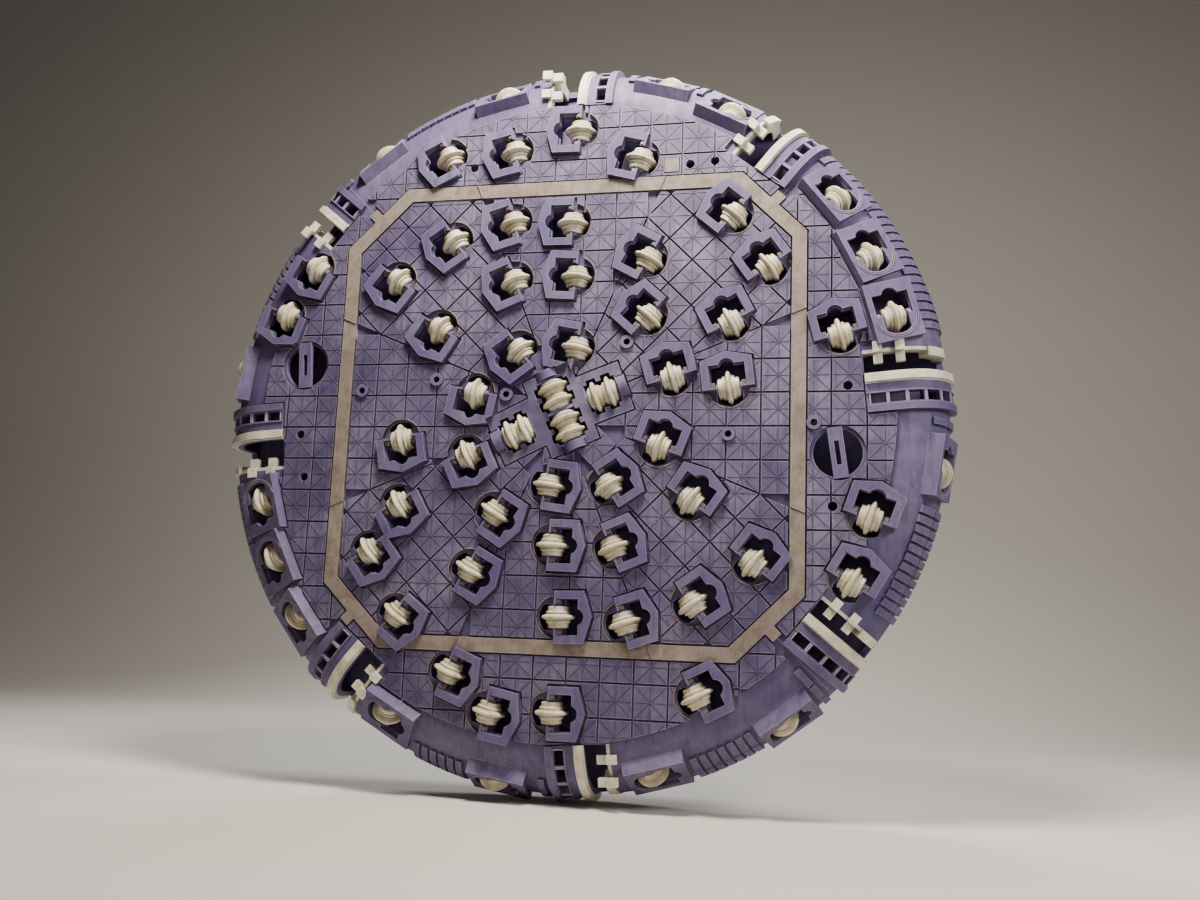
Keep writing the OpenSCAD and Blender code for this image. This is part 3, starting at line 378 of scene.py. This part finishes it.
def cutter_seats():
    """Every single cutter's middle, with axes outwards along its shaft, round and off the face."""
    found = [(Vector(joint["pos_m"]), Vector(joint["axis"])) for joint in JOINTS
             if joint["name"].startswith("cutter_")]
    places, tris = merged(frame["nodes"]["outer_cutters"])
    for rows in islands(tris):
        own = places[np.unique(tris[rows])]
        middle = own.mean(axis=0)
        _, axes = np.linalg.eigh(np.cov((own - middle).T))
        shaft = axes[:, 0] * (1 if axes[:, 0] @ (middle * (1, 0, 1)) > 0 else -1)
        found.append((Vector(middle), Vector(shaft)))
    seats = []
    for middle, shaft in found:
        way = Vector((-middle.z, 0, middle.x)).normalized()
        seats.append(placed(middle, shaft, way, shaft.cross(way)))
    return seats


def is_flat(seat):
    """Whether a cutter's face looks straight out of the head."""
    return abs(seat.translation.y - CUTTER_LEVEL) < 1 * MM


def bucket_starts():
    """Angle of every bucket's lip, with the radius where the lip starts."""
    places, tris = merged(frame["nodes"]["bucket_lips"])
    found = []
    for rows in islands(tris):
        own = places[np.unique(tris[rows])]
        along = own.mean(axis=0)[[0, 2]]
        along /= np.linalg.norm(along)
        found.append((math.atan2(along[1], along[0]), (own[:, [0, 2]] @ along).min()))
    return found


def on_section(angle, start, s, across, rise):
    """Frame on the shell: s along a bucket's section, across it, and rise above the shell."""
    flat = RIM_RADIUS - CORNER_RADIUS
    turn = max(start + s - flat, 0) / CORNER_RADIUS
    outward = Vector((math.cos(angle), 0, math.sin(angle)))
    way = Vector((-math.sin(angle), 0, math.cos(angle)))
    ahead = Vector((0, -1, 0))
    normal = outward * math.sin(turn) + ahead * math.cos(turn)
    along = outward * math.cos(turn) - ahead * math.sin(turn)
    place = (outward * min(start + s, flat) + way * across - ahead * (FACE + CORNER_RADIUS)
             + normal * (CORNER_RADIUS + rise))
    return placed(place, along, way, normal)


def arc(seat, radius, level, start, end, count=20):
    """Points of an arc in a cutter's frame, with its edges."""
    turns = [start + (end - start) * k / count for k in range(count + 1)]
    points = [seat @ Vector((radius * math.cos(t), radius * math.sin(t), level)) for t in turns]
    return points, [(k, k + 1) for k in range(count)]


def blocks(name, rows, chamfer, metal, body):
    """Chamfered blocks, each given by its frame and its low and high corners in that frame."""
    shape = bmesh.new()
    for seat, low, high in rows:
        size = [b - a for a, b in zip(low, high)]
        middle = Vector([(a + b) / 2 for a, b in zip(low, high)])
        made = bmesh.ops.create_cube(shape, size=1.0)
        bmesh.ops.transform(shape, verts=made["verts"],
                            matrix=seat @ Matrix.Translation(middle) @ Matrix.Diagonal((*size, 1)))
    bmesh.ops.bevel(shape, geom=shape.edges[:], offset=chamfer, segments=1, affect="EDGES")
    bmesh.ops.recalc_face_normals(shape, faces=shape.faces)
    mesh = bpy.data.meshes.new(name)
    shape.to_mesh(mesh)
    shape.free()
    mesh.materials.append(metal)
    obj = bpy.data.objects.new(name, mesh)
    bpy.context.scene.collection.objects.link(obj)
    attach(obj, body)
    return obj


def bolts(name, rows, width, metal, body):
    """Hexagon bolts on washers, each given by its place and the way its head looks."""
    obj = wire(name, [place for place, _ in rows], [])
    aims = obj.data.attributes.new("aim", "FLOAT_VECTOR", "POINT")
    aims.data.foreach_set("vector", [v for _, aim in rows for v in aim])
    return grow(obj, bolt_tree(), body, {"Width": width, "Metal": metal})


def wire(name, places, edges):
    """A mesh of loose edges, for a bead to follow."""
    mesh = bpy.data.meshes.new(name)
    mesh.from_pydata([tuple(p) for p in places], [tuple(int(i) for i in e) for e in edges], [])
    obj = bpy.data.objects.new(name, mesh)
    bpy.context.scene.collection.objects.link(obj)
    return obj


def new_tree(name, sockets):
    """A geometry tree with one geometry input, the named inputs and one geometry output."""
    tree = bpy.data.node_groups.new(name, "GeometryNodeTree")
    tree.interface.new_socket("Geometry", in_out="INPUT", socket_type="NodeSocketGeometry")
    for label, kind, default in sockets:
        made = tree.interface.new_socket(label, in_out="INPUT", socket_type=kind)
        if default is not None:
            made.default_value = default
    tree.interface.new_socket("Geometry", in_out="OUTPUT", socket_type="NodeSocketGeometry")
    return tree


def bead_tree():
    """Sweeps a round section along every edge, as a weld bead half sunk in the steel."""
    tree = new_tree("weld_bead", [
        ("Radius", "NodeSocketFloat", 0.01), ("Sides", "NodeSocketInt", 6),
        ("Metal", "NodeSocketMaterial", None)])
    given = put(tree, "NodeGroupInput")
    path = put(tree, "GeometryNodeMeshToCurve", None, {"Mesh": given.outputs["Geometry"]})
    section = put(tree, "GeometryNodeCurvePrimitiveCircle", None, {
        "Resolution": given.outputs["Sides"], "Radius": given.outputs["Radius"]})
    swept = put(tree, "GeometryNodeCurveToMesh", None, {
        "Curve": path.outputs["Curve"], "Profile Curve": section.outputs["Curve"],
        "Fill Caps": True})
    real = put(tree, "GeometryNodeRealizeInstances", None, {"Geometry": swept.outputs["Mesh"]})
    metal = put(tree, "GeometryNodeSetMaterial", None, {
        "Geometry": real.outputs["Geometry"], "Material": given.outputs["Metal"]})
    put(tree, "NodeGroupOutput", None, {"Geometry": metal.outputs["Geometry"]})
    return tree


def bolt_tree():
    """Sets a hexagon head on a washer at every point, its axis along the point's aim."""
    tree = new_tree("hex_bolts", [
        ("Width", "NodeSocketFloat", 0.06), ("Metal", "NodeSocketMaterial", None)])
    given = put(tree, "NodeGroupInput")
    # Shares of the width: the head's height and radius, and the washer's radius and thickness
    height, radius, wide, thin = (
        put(tree, "ShaderNodeMath", {"operation": "MULTIPLY"}, {
            0: given.outputs["Width"], 1: share})
        for share in (0.55, 0.5, 0.78, 0.24))
    head = put(tree, "GeometryNodeMeshCylinder", None, {
        "Vertices": 6, "Radius": radius.outputs["Value"], "Depth": height.outputs["Value"]})
    lift = put(tree, "ShaderNodeMath", {"operation": "MULTIPLY"}, {
        0: height.outputs["Value"], 1: 0.5})
    raised = put(tree, "ShaderNodeCombineXYZ", None, {"Z": lift.outputs["Value"]})
    stood = put(tree, "GeometryNodeTransform", None, {
        "Geometry": head.outputs["Mesh"], "Translation": raised.outputs["Vector"]})
    washer = put(tree, "GeometryNodeMeshCylinder", None, {
        "Vertices": 14, "Radius": wide.outputs["Value"], "Depth": thin.outputs["Value"]})
    both = put(tree, "GeometryNodeJoinGeometry")
    tree.links.new(stood.outputs["Geometry"], both.inputs["Geometry"])
    tree.links.new(washer.outputs["Mesh"], both.inputs["Geometry"])
    aim = put(tree, "GeometryNodeInputNamedAttribute", {"data_type": "FLOAT_VECTOR"}, {
        "Name": "aim"})
    turn = put(tree, "FunctionNodeAlignRotationToVector", {"axis": "Z"}, {
        "Vector": aim.outputs["Attribute"]})
    points = put(tree, "GeometryNodeMeshToPoints", None, {"Mesh": given.outputs["Geometry"]})
    copies = put(tree, "GeometryNodeInstanceOnPoints", None, {
        "Points": points.outputs["Points"], "Instance": both.outputs["Geometry"],
        "Rotation": turn.outputs["Rotation"]})
    real = put(tree, "GeometryNodeRealizeInstances", None, {
        "Geometry": copies.outputs["Instances"]})
    metal = put(tree, "GeometryNodeSetMaterial", None, {
        "Geometry": real.outputs["Geometry"], "Material": given.outputs["Metal"]})
    put(tree, "NodeGroupOutput", None, {"Geometry": metal.outputs["Geometry"]})
    return tree


def grow(obj, tree, body, values):
    """Runs a tree on an object, keeps the result as a plain mesh and lets it ride on a body."""
    modifier = obj.modifiers.new(tree.name, "NODES")
    modifier.node_group = tree
    for item in tree.interface.items_tree:
        if item.item_type == "SOCKET" and item.in_out == "INPUT" and item.name in values:
            modifier[item.identifier] = values[item.name]
    bpy.context.view_layer.update()
    evaluated = obj.evaluated_get(bpy.context.evaluated_depsgraph_get())
    mesh = bpy.data.meshes.new_from_object(evaluated)
    obj.modifiers.remove(modifier)
    if not mesh.polygons:
        raise RuntimeError(f"{obj.name} came out empty")
    obj.data = mesh
    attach(obj, body)
    return obj


class CUTTERHEAD_OT_paint(Operator):
    """Gives every node of the cutterhead its material"""
    bl_idname = "cutterhead.paint"
    bl_label = "Paint the Steelwork"

    def execute(self, context):
        s = context.scene.cutterhead_finish
        paint, dust, cream = tuple(s.paint), tuple(s.dust), tuple(s.cream)
        # Alkyd enamel sprayed on plate steel: a dull violet-blue film, greyed by rock dust and
        # rubbed pale on edges
        enamel = coat("violet_enamel_sprayed", (paint, dust, "#524869"),
                      wear="#968DAC", grime_and_shade="#2A1D38",
                      rough=0.62, edge_width=s.edge_wear, relief=0.35, runs=0.45)
        # Rolled wear plate under the same enamel, with more of it scoured off, so it looks
        # greyer and blotched
        plate = coat("wear_plate_enamelled", ("#3A3258", "#6C6581", "#4C425E"),
                     wear="#9A91AA", grime_and_shade="#291E37",
                     rough=0.6, edge_width=s.edge_wear, relief=0.5, runs=0.5)
        # Enamel deep in the housings, painted much paler than the face enamel as painted light that
        # stands in for light reaching into the recesses, with a pale violet in its corners in place
        # of shade
        housing_painted_light = coat("housing_enamel_painted_light", ("#7E70AC", "#8A7BB2", "#6E5F98"),
                    wear="#9A8EBC", grime_and_shade="#5A4780",
                    rough=0.55, edge_width=s.edge_wear, relief=0.3)
        # The same enamel on the chute plates, thin and scuffed by rock
        chute = coat("chute_enamel_scuffed", ("#3F3766", "#5B5478", "#4A4063"),
                     wear="#8A82A0", grime_and_shade="#2A2038",
                     rough=0.6, edge_width=s.edge_wear, relief=0.4, runs=0.4)
        # Cream enamel brushed on cutters; the near-white band on the rings' edges is partly wear
        # and partly a painted highlight on the lit tips, and the brown in the grooves is partly
        # grime and partly painted shade
        cutter = coat("cutter_enamel_brushed", ("#D9D2B8", "#BFB594", "#A89A74"),
                      wear="#FFFDF4", grime_and_shade="#4E3B1C",
                      rough=0.42, edge_width=0.010, relief=0.12, chips=0.5, pocket=0.10, runs=0.4)
        # Cream enamel on the bucket lips, thick, chipped and dusty
        lip = coat("lip_enamel_brushed", (cream, "#C6C0AC", "#AFA794"),
                   wear="#EFEDE4", grime_and_shade="#6A6058",
                   rough=0.5, edge_width=0.012, relief=0.35)
        # Zinc primer on the cover strips, tan, with rust breaking through
        primer = coat("strip_primer_rusting", ("#766B63", "#887D72", "#68574F"),
                      wear="#A89E92", grime_and_shade="#3E3139",
                      rough=0.7, edge_width=0.012, relief=0.5, runs=0.3)
        # Turned bearing steel: grey, smooth, faintly ringed by the tool
        turned = coat("bearing_steel_turned", ("#7E7F83", "#8A8B8F", "#74757A"),
                      wear="#B5B6BA", grime_and_shade="#3F3E40",
                      rough=0.36, edge_width=0.008, relief=0.1, metallic=1.0)
        by_slot = {
            "blue_paint": enamel, "wear_plate": plate, "dark_paint": housing_painted_light, "cutter_paint": cutter,
            "cream_lip": lip, "bare_strip": primer, "machined_steel": turned}
        slots = {row["node"]: row["material_slot"] for row in frame["record"]["subparts"]}
        for name, node in frame["nodes"].items():
            node.data.materials.clear()
            node.data.materials.append(chute if name == "chute_plates" else by_slot[slots[name]])
        return {"FINISHED"}


class CUTTERHEAD_OT_scores(Operator):
    """Lays the crossed hardfacing beads on every wear plate"""
    bl_idname = "cutterhead.scores"
    bl_label = "Score the Wear Plates"

    def execute(self, context):
        s = context.scene.cutterhead_finish
        # Hardfacing wire laid in thin beads, darker than the plate round them
        metal = coat("hardfacing_welded", ("#352D4C", "#463F5C", "#3E364A"),
                     wear="#6F6985", grime_and_shade="#2A2236",
                     rough=0.55, edge_width=0.002, relief=0.4)
        places, flat, _ = outline(frame["nodes"]["wear_plates"], PLATE_TOP)
        half = (PLATE_PITCH - PLATE_GAP) / 2 - BEAD_END
        points, edges = [], []
        for rows in islands(flat):
            corners = places[flat[rows]][:, :, [0, 2]]
            area = [abs(np.cross(t[1] - t[0], t[2] - t[0])) / 2 for t in corners]
            centre = np.average(corners.mean(axis=1), axis=0, weights=area)
            if np.linalg.norm(centre) < TWIN_REACH and sum(area) > TWIN_PLATE_AREA:
                continue
            across, askew = max(abs(centre)), sum(abs(centre)) / math.sqrt(2)
            inside = across < OCTAGON_HALF and askew < OCTAGON_CORNER
            turn = math.pi / (4 if inside else 2)
            angle = turn * round(math.atan2(centre[1], centre[0]) / turn)
            u_axis = np.array([math.cos(angle), math.sin(angle)])
            v_axis = np.array([-math.sin(angle), math.cos(angle)])
            u, v = centre @ u_axis, centre @ v_axis
            middle = ((math.floor(u / PLATE_PITCH) + 0.5) * PLATE_PITCH * u_axis
                      + round(v / PLATE_PITCH) * PLATE_PITCH * v_axis)
            for du, dv in ((1, 0), (0, 1), (1, 1), (1, -1)):
                ray = (du * u_axis + dv * v_axis) * half
                for low, high in spans(middle - ray, middle + ray, corners):
                    a, b = middle - ray + 2 * ray * low, middle - ray + 2 * ray * high
                    length = np.linalg.norm(b - a)
                    if length < SHORTEST_BEAD:
                        continue
                    trim = (b - a) / length * BEAD_END
                    a, b = a + trim, b - trim
                    points += [(a[0], PLATE_TOP, a[1]), (b[0], PLATE_TOP, b[1])]
                    edges.append((len(points) - 2, len(points) - 1))
        grow(wire("wear_plate_beads", points, edges), bead_tree(), "cutterhead",
             {"Radius": s.score_radius, "Sides": s.bead_sides, "Metal": metal})
        return {"FINISHED"}


class CUTTERHEAD_OT_welds(Operator):
    """Runs weld beads along the feet of the frames and cover strips"""
    bl_idname = "cutterhead.welds"
    bl_label = "Weld the Frames and Strips"

    def execute(self, context):
        s = context.scene.cutterhead_finish
        # Fillet welds under the enamel, lumpy and holding dust
        metal = coat("weld_bead_enamelled", ("#61577A", "#7B7289", "#6E6474"),
                     wear="#A29AB0", grime_and_shade="#40343F",
                     rough=0.6, edge_width=0.006, relief=0.9)
        # Bare weld metal dulled to tan by flash rust and dust
        bare = coat("weld_bead_flash_rusted", ("#6B5E5C", "#7A6D6A", "#5F5049"),
                    wear="#978C88", grime_and_shade="#3A2C34",
                    rough=0.6, edge_width=0.006, relief=0.9)
        tree = bead_tree()
        for node, level in (("cutter_frames", FRAME_TOP), ("cover_strips", STRIP_TOP)):
            places, _, edges = outline(frame["nodes"][node], level)
            foot = places.copy()
            foot[:, 1] = FACE - SEAT
            grow(wire(node + "_welds", foot, edges), tree, "cutterhead",
                 {"Radius": s.weld_radius, "Sides": s.bead_sides, "Metal": metal})
        # Beads round the cut edges of the wear plates beside each opening
        places, _, edges = outline(frame["nodes"]["wear_plates"], PLATE_TOP)
        flat = places[:, [0, 2]]
        middles = np.array([seat.translation.xz for seat in cutter_seats() if is_flat(seat)])
        away = np.abs(np.linalg.norm(flat[:, None] - middles[None], axis=2) - PLATE_ROUND)
        nearest = np.where(away.min(axis=1) < 1 * MM, away.argmin(axis=1), -1)
        kept = [(a, b) for a, b in edges if nearest[a] == nearest[b] != -1]
        grow(wire("opening_welds", places, kept), tree, "cutterhead",
             {"Radius": s.weld_radius * OPENING_WELD, "Sides": s.bead_sides, "Metal": bare})
        # Beads across the joints of the cover strips, and two rows of arcs on the leaning boxes
        points, lines = [], []
        corner = math.pi / 8
        for k in range(4):
            for side in (-1, 1):
                turn = math.pi / 2 * k + side * corner
                for reach in (OCTAGON_HALF - STRIP_HALF, OCTAGON_HALF + STRIP_HALF):
                    r = reach / math.cos(corner)
                    points.append(Vector((r * math.cos(turn), STRIP_TOP, r * math.sin(turn))))
                lines.append((len(points) - 2, len(points) - 1))
        grow(wire("strip_joint_welds", points, lines), tree, "cutterhead",
             {"Radius": s.weld_radius * JOINT_WELD, "Sides": s.bead_sides, "Metal": bare})
        points, lines = [], []
        for seat in cutter_seats():
            if not is_flat(seat):
                for margin in BOX_ARC_MARGINS:
                    more, steps = arc(seat, OPENING_RADIUS + margin, BOX_RISE, *BOX_ARC_ENDS)
                    lines += [(a + len(points), b + len(points)) for a, b in steps]
                    points += more
        grow(wire("gauge_box_welds", points, lines), tree, "cutterhead",
             {"Radius": s.weld_radius * BOX_WELD, "Sides": s.bead_sides, "Metal": metal})
        # Fillets of the torque tube and its gussets on the rear plates
        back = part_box("torque_tube")[0].y
        places, _, edges = outline(frame["nodes"]["torque_tube"], back)
        grow(wire("torque_tube_welds", places, edges), tree, "cutterhead",
             {"Radius": s.weld_radius, "Sides": s.bead_sides, "Metal": metal})
        return {"FINISHED"}


class CUTTERHEAD_OT_locks(Operator):
    """Sets the wedge blocks that lock each shaft at the foot of its recess, with their bolts"""
    bl_idname = "cutterhead.locks"
    bl_label = "Fit the Wedge Locks"

    def execute(self, context):
        s = context.scene.cutterhead_finish
        # Forged steel blocks with flash rust, brown against the enamel
        forged = coat("wedge_steel_forged", ("#5E4F54", "#6F625F", "#524048"),
                      wear="#A89C94", grime_and_shade="#2B2024",
                      rough=0.55, edge_width=0.008, relief=0.5)
        # Bolts of turned steel, zinc gone dull
        zinc = coat("bolt_steel_zinc_plated", ("#8D8A86", "#A09D97", "#776F6A"),
                    wear="#C6C3BC", grime_and_shade="#3A3334",
                    rough=0.45, edge_width=0.004, relief=0.2, metallic=1.0)
        rows, heads = [], []
        for seat in cutter_seats():
            top = LOCK_TOP if is_flat(seat) else BOX_RISE - LOCK_DROP
            for side in (-1, 1):
                left, right = sorted(side * edge for edge in LOCK_SIDES)
                low, high = LOCK_ENDS
                rows.append((seat, (left, low, top - LOCK_HEIGHT), (right, high, top)))
                x, y = LOCK_BOLT
                heads.append((seat @ Vector((side * x, y, top)), seat.to_3x3().col[2]))
        blocks("wedge_locks", rows, LOCK_CHAMFER, forged, "cutterhead")
        bolts("wedge_bolts", heads, s.bolt_size * LOCK_BOLT_SHARE, zinc, "cutterhead")
        return {"FINISHED"}


class CUTTERHEAD_OT_posts(Operator):
    """Welds the flat posts between the windows of the bucket plates"""
    bl_idname = "cutterhead.posts"
    bl_label = "Fit the Window Posts"

    def execute(self, context):
        # Flame-cut flat bar with thin enamel, paled by dust
        bar = coat("window_bar_flame_cut", ("#7F7690", "#968EA2", "#857C8F"),
                   wear="#B9B1C0", grime_and_shade="#43364A",
                   rough=0.6, edge_width=0.008, relief=0.4)
        rows = []
        half = WINDOW_WIDTH / 2 + POST_LAP
        for angle, start in bucket_starts():
            length = RIM_RADIUS - CORNER_RADIUS - start + CORNER_RADIUS * math.pi / 2
            for i in range(math.floor(length / WINDOW_PITCH - 1) + 1):
                for side in (-1, 1):
                    s = WINDOW_PITCH * (i + WINDOW_START) + side * (WINDOW_LENGTH / 2 + POST_STEP)
                    seat = on_section(angle, start, s, WINDOW_ROW, GRID_RISE)
                    rows.append((seat, (-POST_HALF, -half, -POST_FOOT),
                                 (POST_HALF, half, POST_TOP)))
        blocks("window_posts", rows, POST_CHAMFER, bar, "cutterhead")
        return {"FINISHED"}


class CUTTERHEAD_OT_bolts(Operator):
    """Screws down the bearing ring and the drive flange"""
    bl_idname = "cutterhead.bolts"
    bl_label = "Set the Bolts"

    def execute(self, context):
        s = context.scene.cutterhead_finish
        # Black-oxide bolts, oiled
        black = coat("bolt_steel_blackened", ("#3B3A3E", "#48474B", "#302E31"),
                     wear="#8C8B8D", grime_and_shade="#1A191B",
                     rough=0.38, edge_width=0.004, relief=0.15, metallic=1.0)
        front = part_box("bearing_ring")[0].y
        mount = frame["record"]["mounts"][0]["dims"]
        radius = mount["pcd_mm"] * MM / 2
        turns = [2 * math.pi * k / mount["count"] for k in range(mount["count"])]
        ring = [((radius * math.cos(t), front, radius * math.sin(t)), (0, -1, 0))
                for t in turns]
        bolts("bearing_ring_bolts", ring, s.bolt_size * RING_BOLT_SHARE, black, "bearing")
        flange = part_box("rotor_ring")[0].y
        turns = [math.radians(360 / DRIVE_FIELDS * k + step)
                 for k in range(DRIVE_FIELDS) for step in DRIVE_STEPS]
        drive = [((DRIVE_RADIUS * math.cos(t), flange, DRIVE_RADIUS * math.sin(t)), (0, -1, 0))
                 for t in turns]
        bolts("drive_flange_bolts", drive, s.bolt_size, black, "cutterhead")
        return {"FINISHED"}


class CUTTERHEAD_OT_stage(Operator):
    """Sets the floor, the studio lights and the camera at the photograph's angle"""
    bl_idname = "cutterhead.stage"
    bl_label = "Set the Studio"

    def execute(self, context):
        low = CAD_BOX[0].z
        ground = bpy.data.meshes.new("studio_floor")
        # The floor bends up into a wall behind the head
        lines = [(-FLOOR_REACH, low), (WALL_FOOT, low)]
        for k in range(1, WALL_STEPS + 1):
            a = math.pi / 2 * k / WALL_STEPS
            lines.append((WALL_FOOT + WALL_BEND * math.sin(a),
                          low + WALL_BEND - WALL_BEND * math.cos(a)))
        lines.append((WALL_FOOT + WALL_BEND, low + WALL_HEIGHT))
        ground.from_pydata(
            [(x, y, z) for y, z in lines for x in (-FLOOR_REACH, FLOOR_REACH)], [],
            [(2 * i, 2 * i + 1, 2 * i + 3, 2 * i + 2) for i in range(len(lines) - 1)])
        floor = bpy.data.objects.new("studio_floor", ground)
        context.scene.collection.objects.link(floor)
        pale = bpy.data.materials.new("studio_floor_matt")
        pale.use_nodes = True
        shader = pale.node_tree.nodes["Principled BSDF"]
        shader.inputs["Base Color"].default_value = colour("#CFCBC4")
        shader.inputs["Roughness"].default_value = 0.9
        ground.materials.append(pale)
        ground.shade_smooth()

        for name, place, aim, size, power, tint in LAMPS:
            data = bpy.data.lights.new(name, "AREA")
            data.shape, data.size, data.energy = "DISK", size, power
            data.color = colour(tint)[:3]
            lamp = bpy.data.objects.new(name, data)
            lamp.location = place
            way = Vector(aim) - Vector(place)
            lamp.rotation_euler = way.to_track_quat("-Z", "Y").to_euler()
            context.scene.collection.objects.link(lamp)
        world = bpy.data.worlds.new("studio_air")
        world.use_nodes = True
        air = world.node_tree.nodes["Background"]
        air.inputs["Color"].default_value = colour("#E6D8E2")
        air.inputs["Strength"].default_value = 0.05
        context.scene.world = world

        yaw, pitch, roll = (math.radians(angle) for angle in CAMERA_TURN)
        ahead = Vector((math.sin(yaw) * math.cos(pitch), math.cos(yaw) * math.cos(pitch),
                        math.sin(pitch)))
        level = Vector((math.cos(yaw), -math.sin(yaw), 0))
        upright = level.cross(ahead)
        right = math.cos(roll) * level + math.sin(roll) * upright
        up = -math.sin(roll) * level + math.cos(roll) * upright
        lens = bpy.data.cameras.new("photo_camera")
        lens.sensor_fit, lens.sensor_width = "HORIZONTAL", SENSOR
        lens.lens = FOCAL_PIXELS * SENSOR / IMAGE_WIDTH
        lens.clip_end = 200.0
        camera = bpy.data.objects.new("photo_camera", lens)
        camera.matrix_world = placed(CAMERA_PLACE, right, up, -ahead)
        context.scene.collection.objects.link(camera)
        context.scene.camera = camera
        return {"FINISHED"}


OPERATORS = (CUTTERHEAD_OT_stage, CUTTERHEAD_OT_paint, CUTTERHEAD_OT_scores, CUTTERHEAD_OT_welds,
             CUTTERHEAD_OT_locks, CUTTERHEAD_OT_posts, CUTTERHEAD_OT_bolts)


class CUTTERHEAD_PT_finish(Panel):
    """Lists the steps that dress the cutterhead"""
    bl_idname = "CUTTERHEAD_PT_finish"
    bl_label = "Cutterhead"
    bl_space_type = "VIEW_3D"
    bl_region_type = "UI"
    bl_category = "Cutterhead"

    def draw(self, context):
        for name in FinishSettings.__annotations__:
            self.layout.prop(context.scene.cutterhead_finish, name)
        for step in OPERATORS:
            self.layout.operator(step.bl_idname)


CLASSES = (FinishSettings, *OPERATORS, CUTTERHEAD_PT_finish)


def register():
    for cls in CLASSES:
        bpy.utils.register_class(cls)
    bpy.types.Scene.cutterhead_finish = PointerProperty(type=FinishSettings)


def unregister():
    del bpy.types.Scene.cutterhead_finish
    for cls in reversed(CLASSES):
        bpy.utils.unregister_class(cls)


def main():
    register()
    bpy.ops.cutterhead.stage()
    bpy.ops.cutterhead.paint()
    bpy.ops.cutterhead.scores()
    bpy.ops.cutterhead.welds()
    bpy.ops.cutterhead.locks()
    bpy.ops.cutterhead.posts()
    bpy.ops.cutterhead.bolts()


if __name__ == "__main__":
    main()
